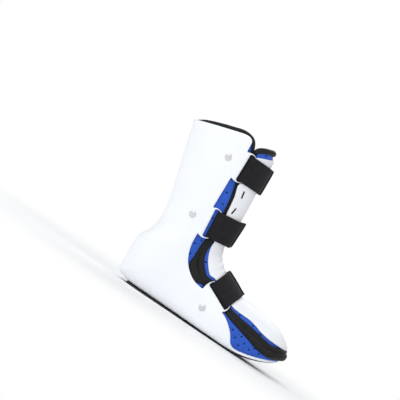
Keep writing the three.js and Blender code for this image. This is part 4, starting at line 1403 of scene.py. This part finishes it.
def make_world():
    world = bpy.data.worlds.new("studio")
    world.use_nodes = True
    nodes, links = world.node_tree.nodes, world.node_tree.links
    seen = nodes["Background"]
    seen.inputs["Color"].default_value = (1, 1, 1, 1)
    seen.inputs["Strength"].default_value = 1.0
    light = nodes.new("ShaderNodeBackground")
    light.inputs["Color"].default_value = (0.95, 0.975, 1, 1)
    toward = nodes.new("ShaderNodeVectorMath")
    toward.operation = "DOT_PRODUCT"
    toward.inputs[1].default_value = SKY_BRIGHT
    links.new(nodes.new("ShaderNodeTexCoord").outputs["Generated"], toward.inputs[0])
    shade = nodes.new("ShaderNodeMapRange")
    shade.inputs["From Min"].default_value = -1.0
    shade.inputs["From Max"].default_value = 1.0
    shade.inputs["To Min"].default_value = SKY_LOW
    shade.inputs["To Max"].default_value = SKY_HIGH
    links.new(toward.outputs["Value"], shade.inputs["Value"])
    links.new(shade.outputs["Result"], light.inputs["Strength"])
    path = nodes.new("ShaderNodeLightPath")
    mix = nodes.new("ShaderNodeMixShader")
    links.new(path.outputs["Is Camera Ray"], mix.inputs[0])
    links.new(light.outputs[0], mix.inputs[1])
    links.new(seen.outputs[0], mix.inputs[2])
    links.new(mix.outputs[0], nodes["World Output"].inputs["Surface"])
    bpy.context.scene.world = world


def make_camera():
    data = bpy.data.cameras.new("camera")
    data.lens = LENS
    data.sensor_width = SENSOR
    far = PIXEL * IMAGE * LENS / SENSOR
    aim = Vector((AIM[0] + HEEL_X, AIM[1], AIM[2])) * MM
    right = Vector((math.cos(PITCH), 0, math.sin(PITCH)))
    up = Vector((-math.sin(PITCH), 0, math.cos(PITCH)))
    back = right.cross(up)
    camera = bpy.data.objects.new("camera", data)
    spin = Matrix((right, up, back)).transposed().to_4x4()
    camera.matrix_world = Matrix.Translation(aim + back * far * MM) @ spin
    data.clip_end = 100
    bpy.context.scene.collection.objects.link(camera)
    bpy.context.scene.camera = camera


def main():
    white, cover, blue = shell_paint(), cover_paint(), foam_paint()
    black, woven, metal, rubber = binding_paint(), webbing_paint(), metal_paint(), rubber_paint()
    shadow_paint()
    make_shell(white)
    make_outsole(rubber)
    make_liner(blue)
    make_pad(blue)
    make_plate(cover)
    inner, outer = Pattern(FOOT_TIP, False), Pattern(TONGUE_TIP, True)
    make_roll("liner_binding", inner, LINER_ROLL, LINER_TOE, LINER_BACK, -1, black, "liner_edge")
    make_roll("tongue_binding", outer, TONGUE_ROLL, TONGUE_TOE, TONGUE_TOP, 1, black, "tongue_edge")
    for strap in STRAPS:
        for side, word in ((-1, "outer"), (1, "inner")):
            make_strap(strap, side, word, woven)
            make_rivet(strap, side, word, metal)
    make_stage()
    make_world()
    for light in LIGHTS:
        make_light(*light)
    make_camera()
    bpy.context.scene.view_settings.view_transform = "Standard"


main()
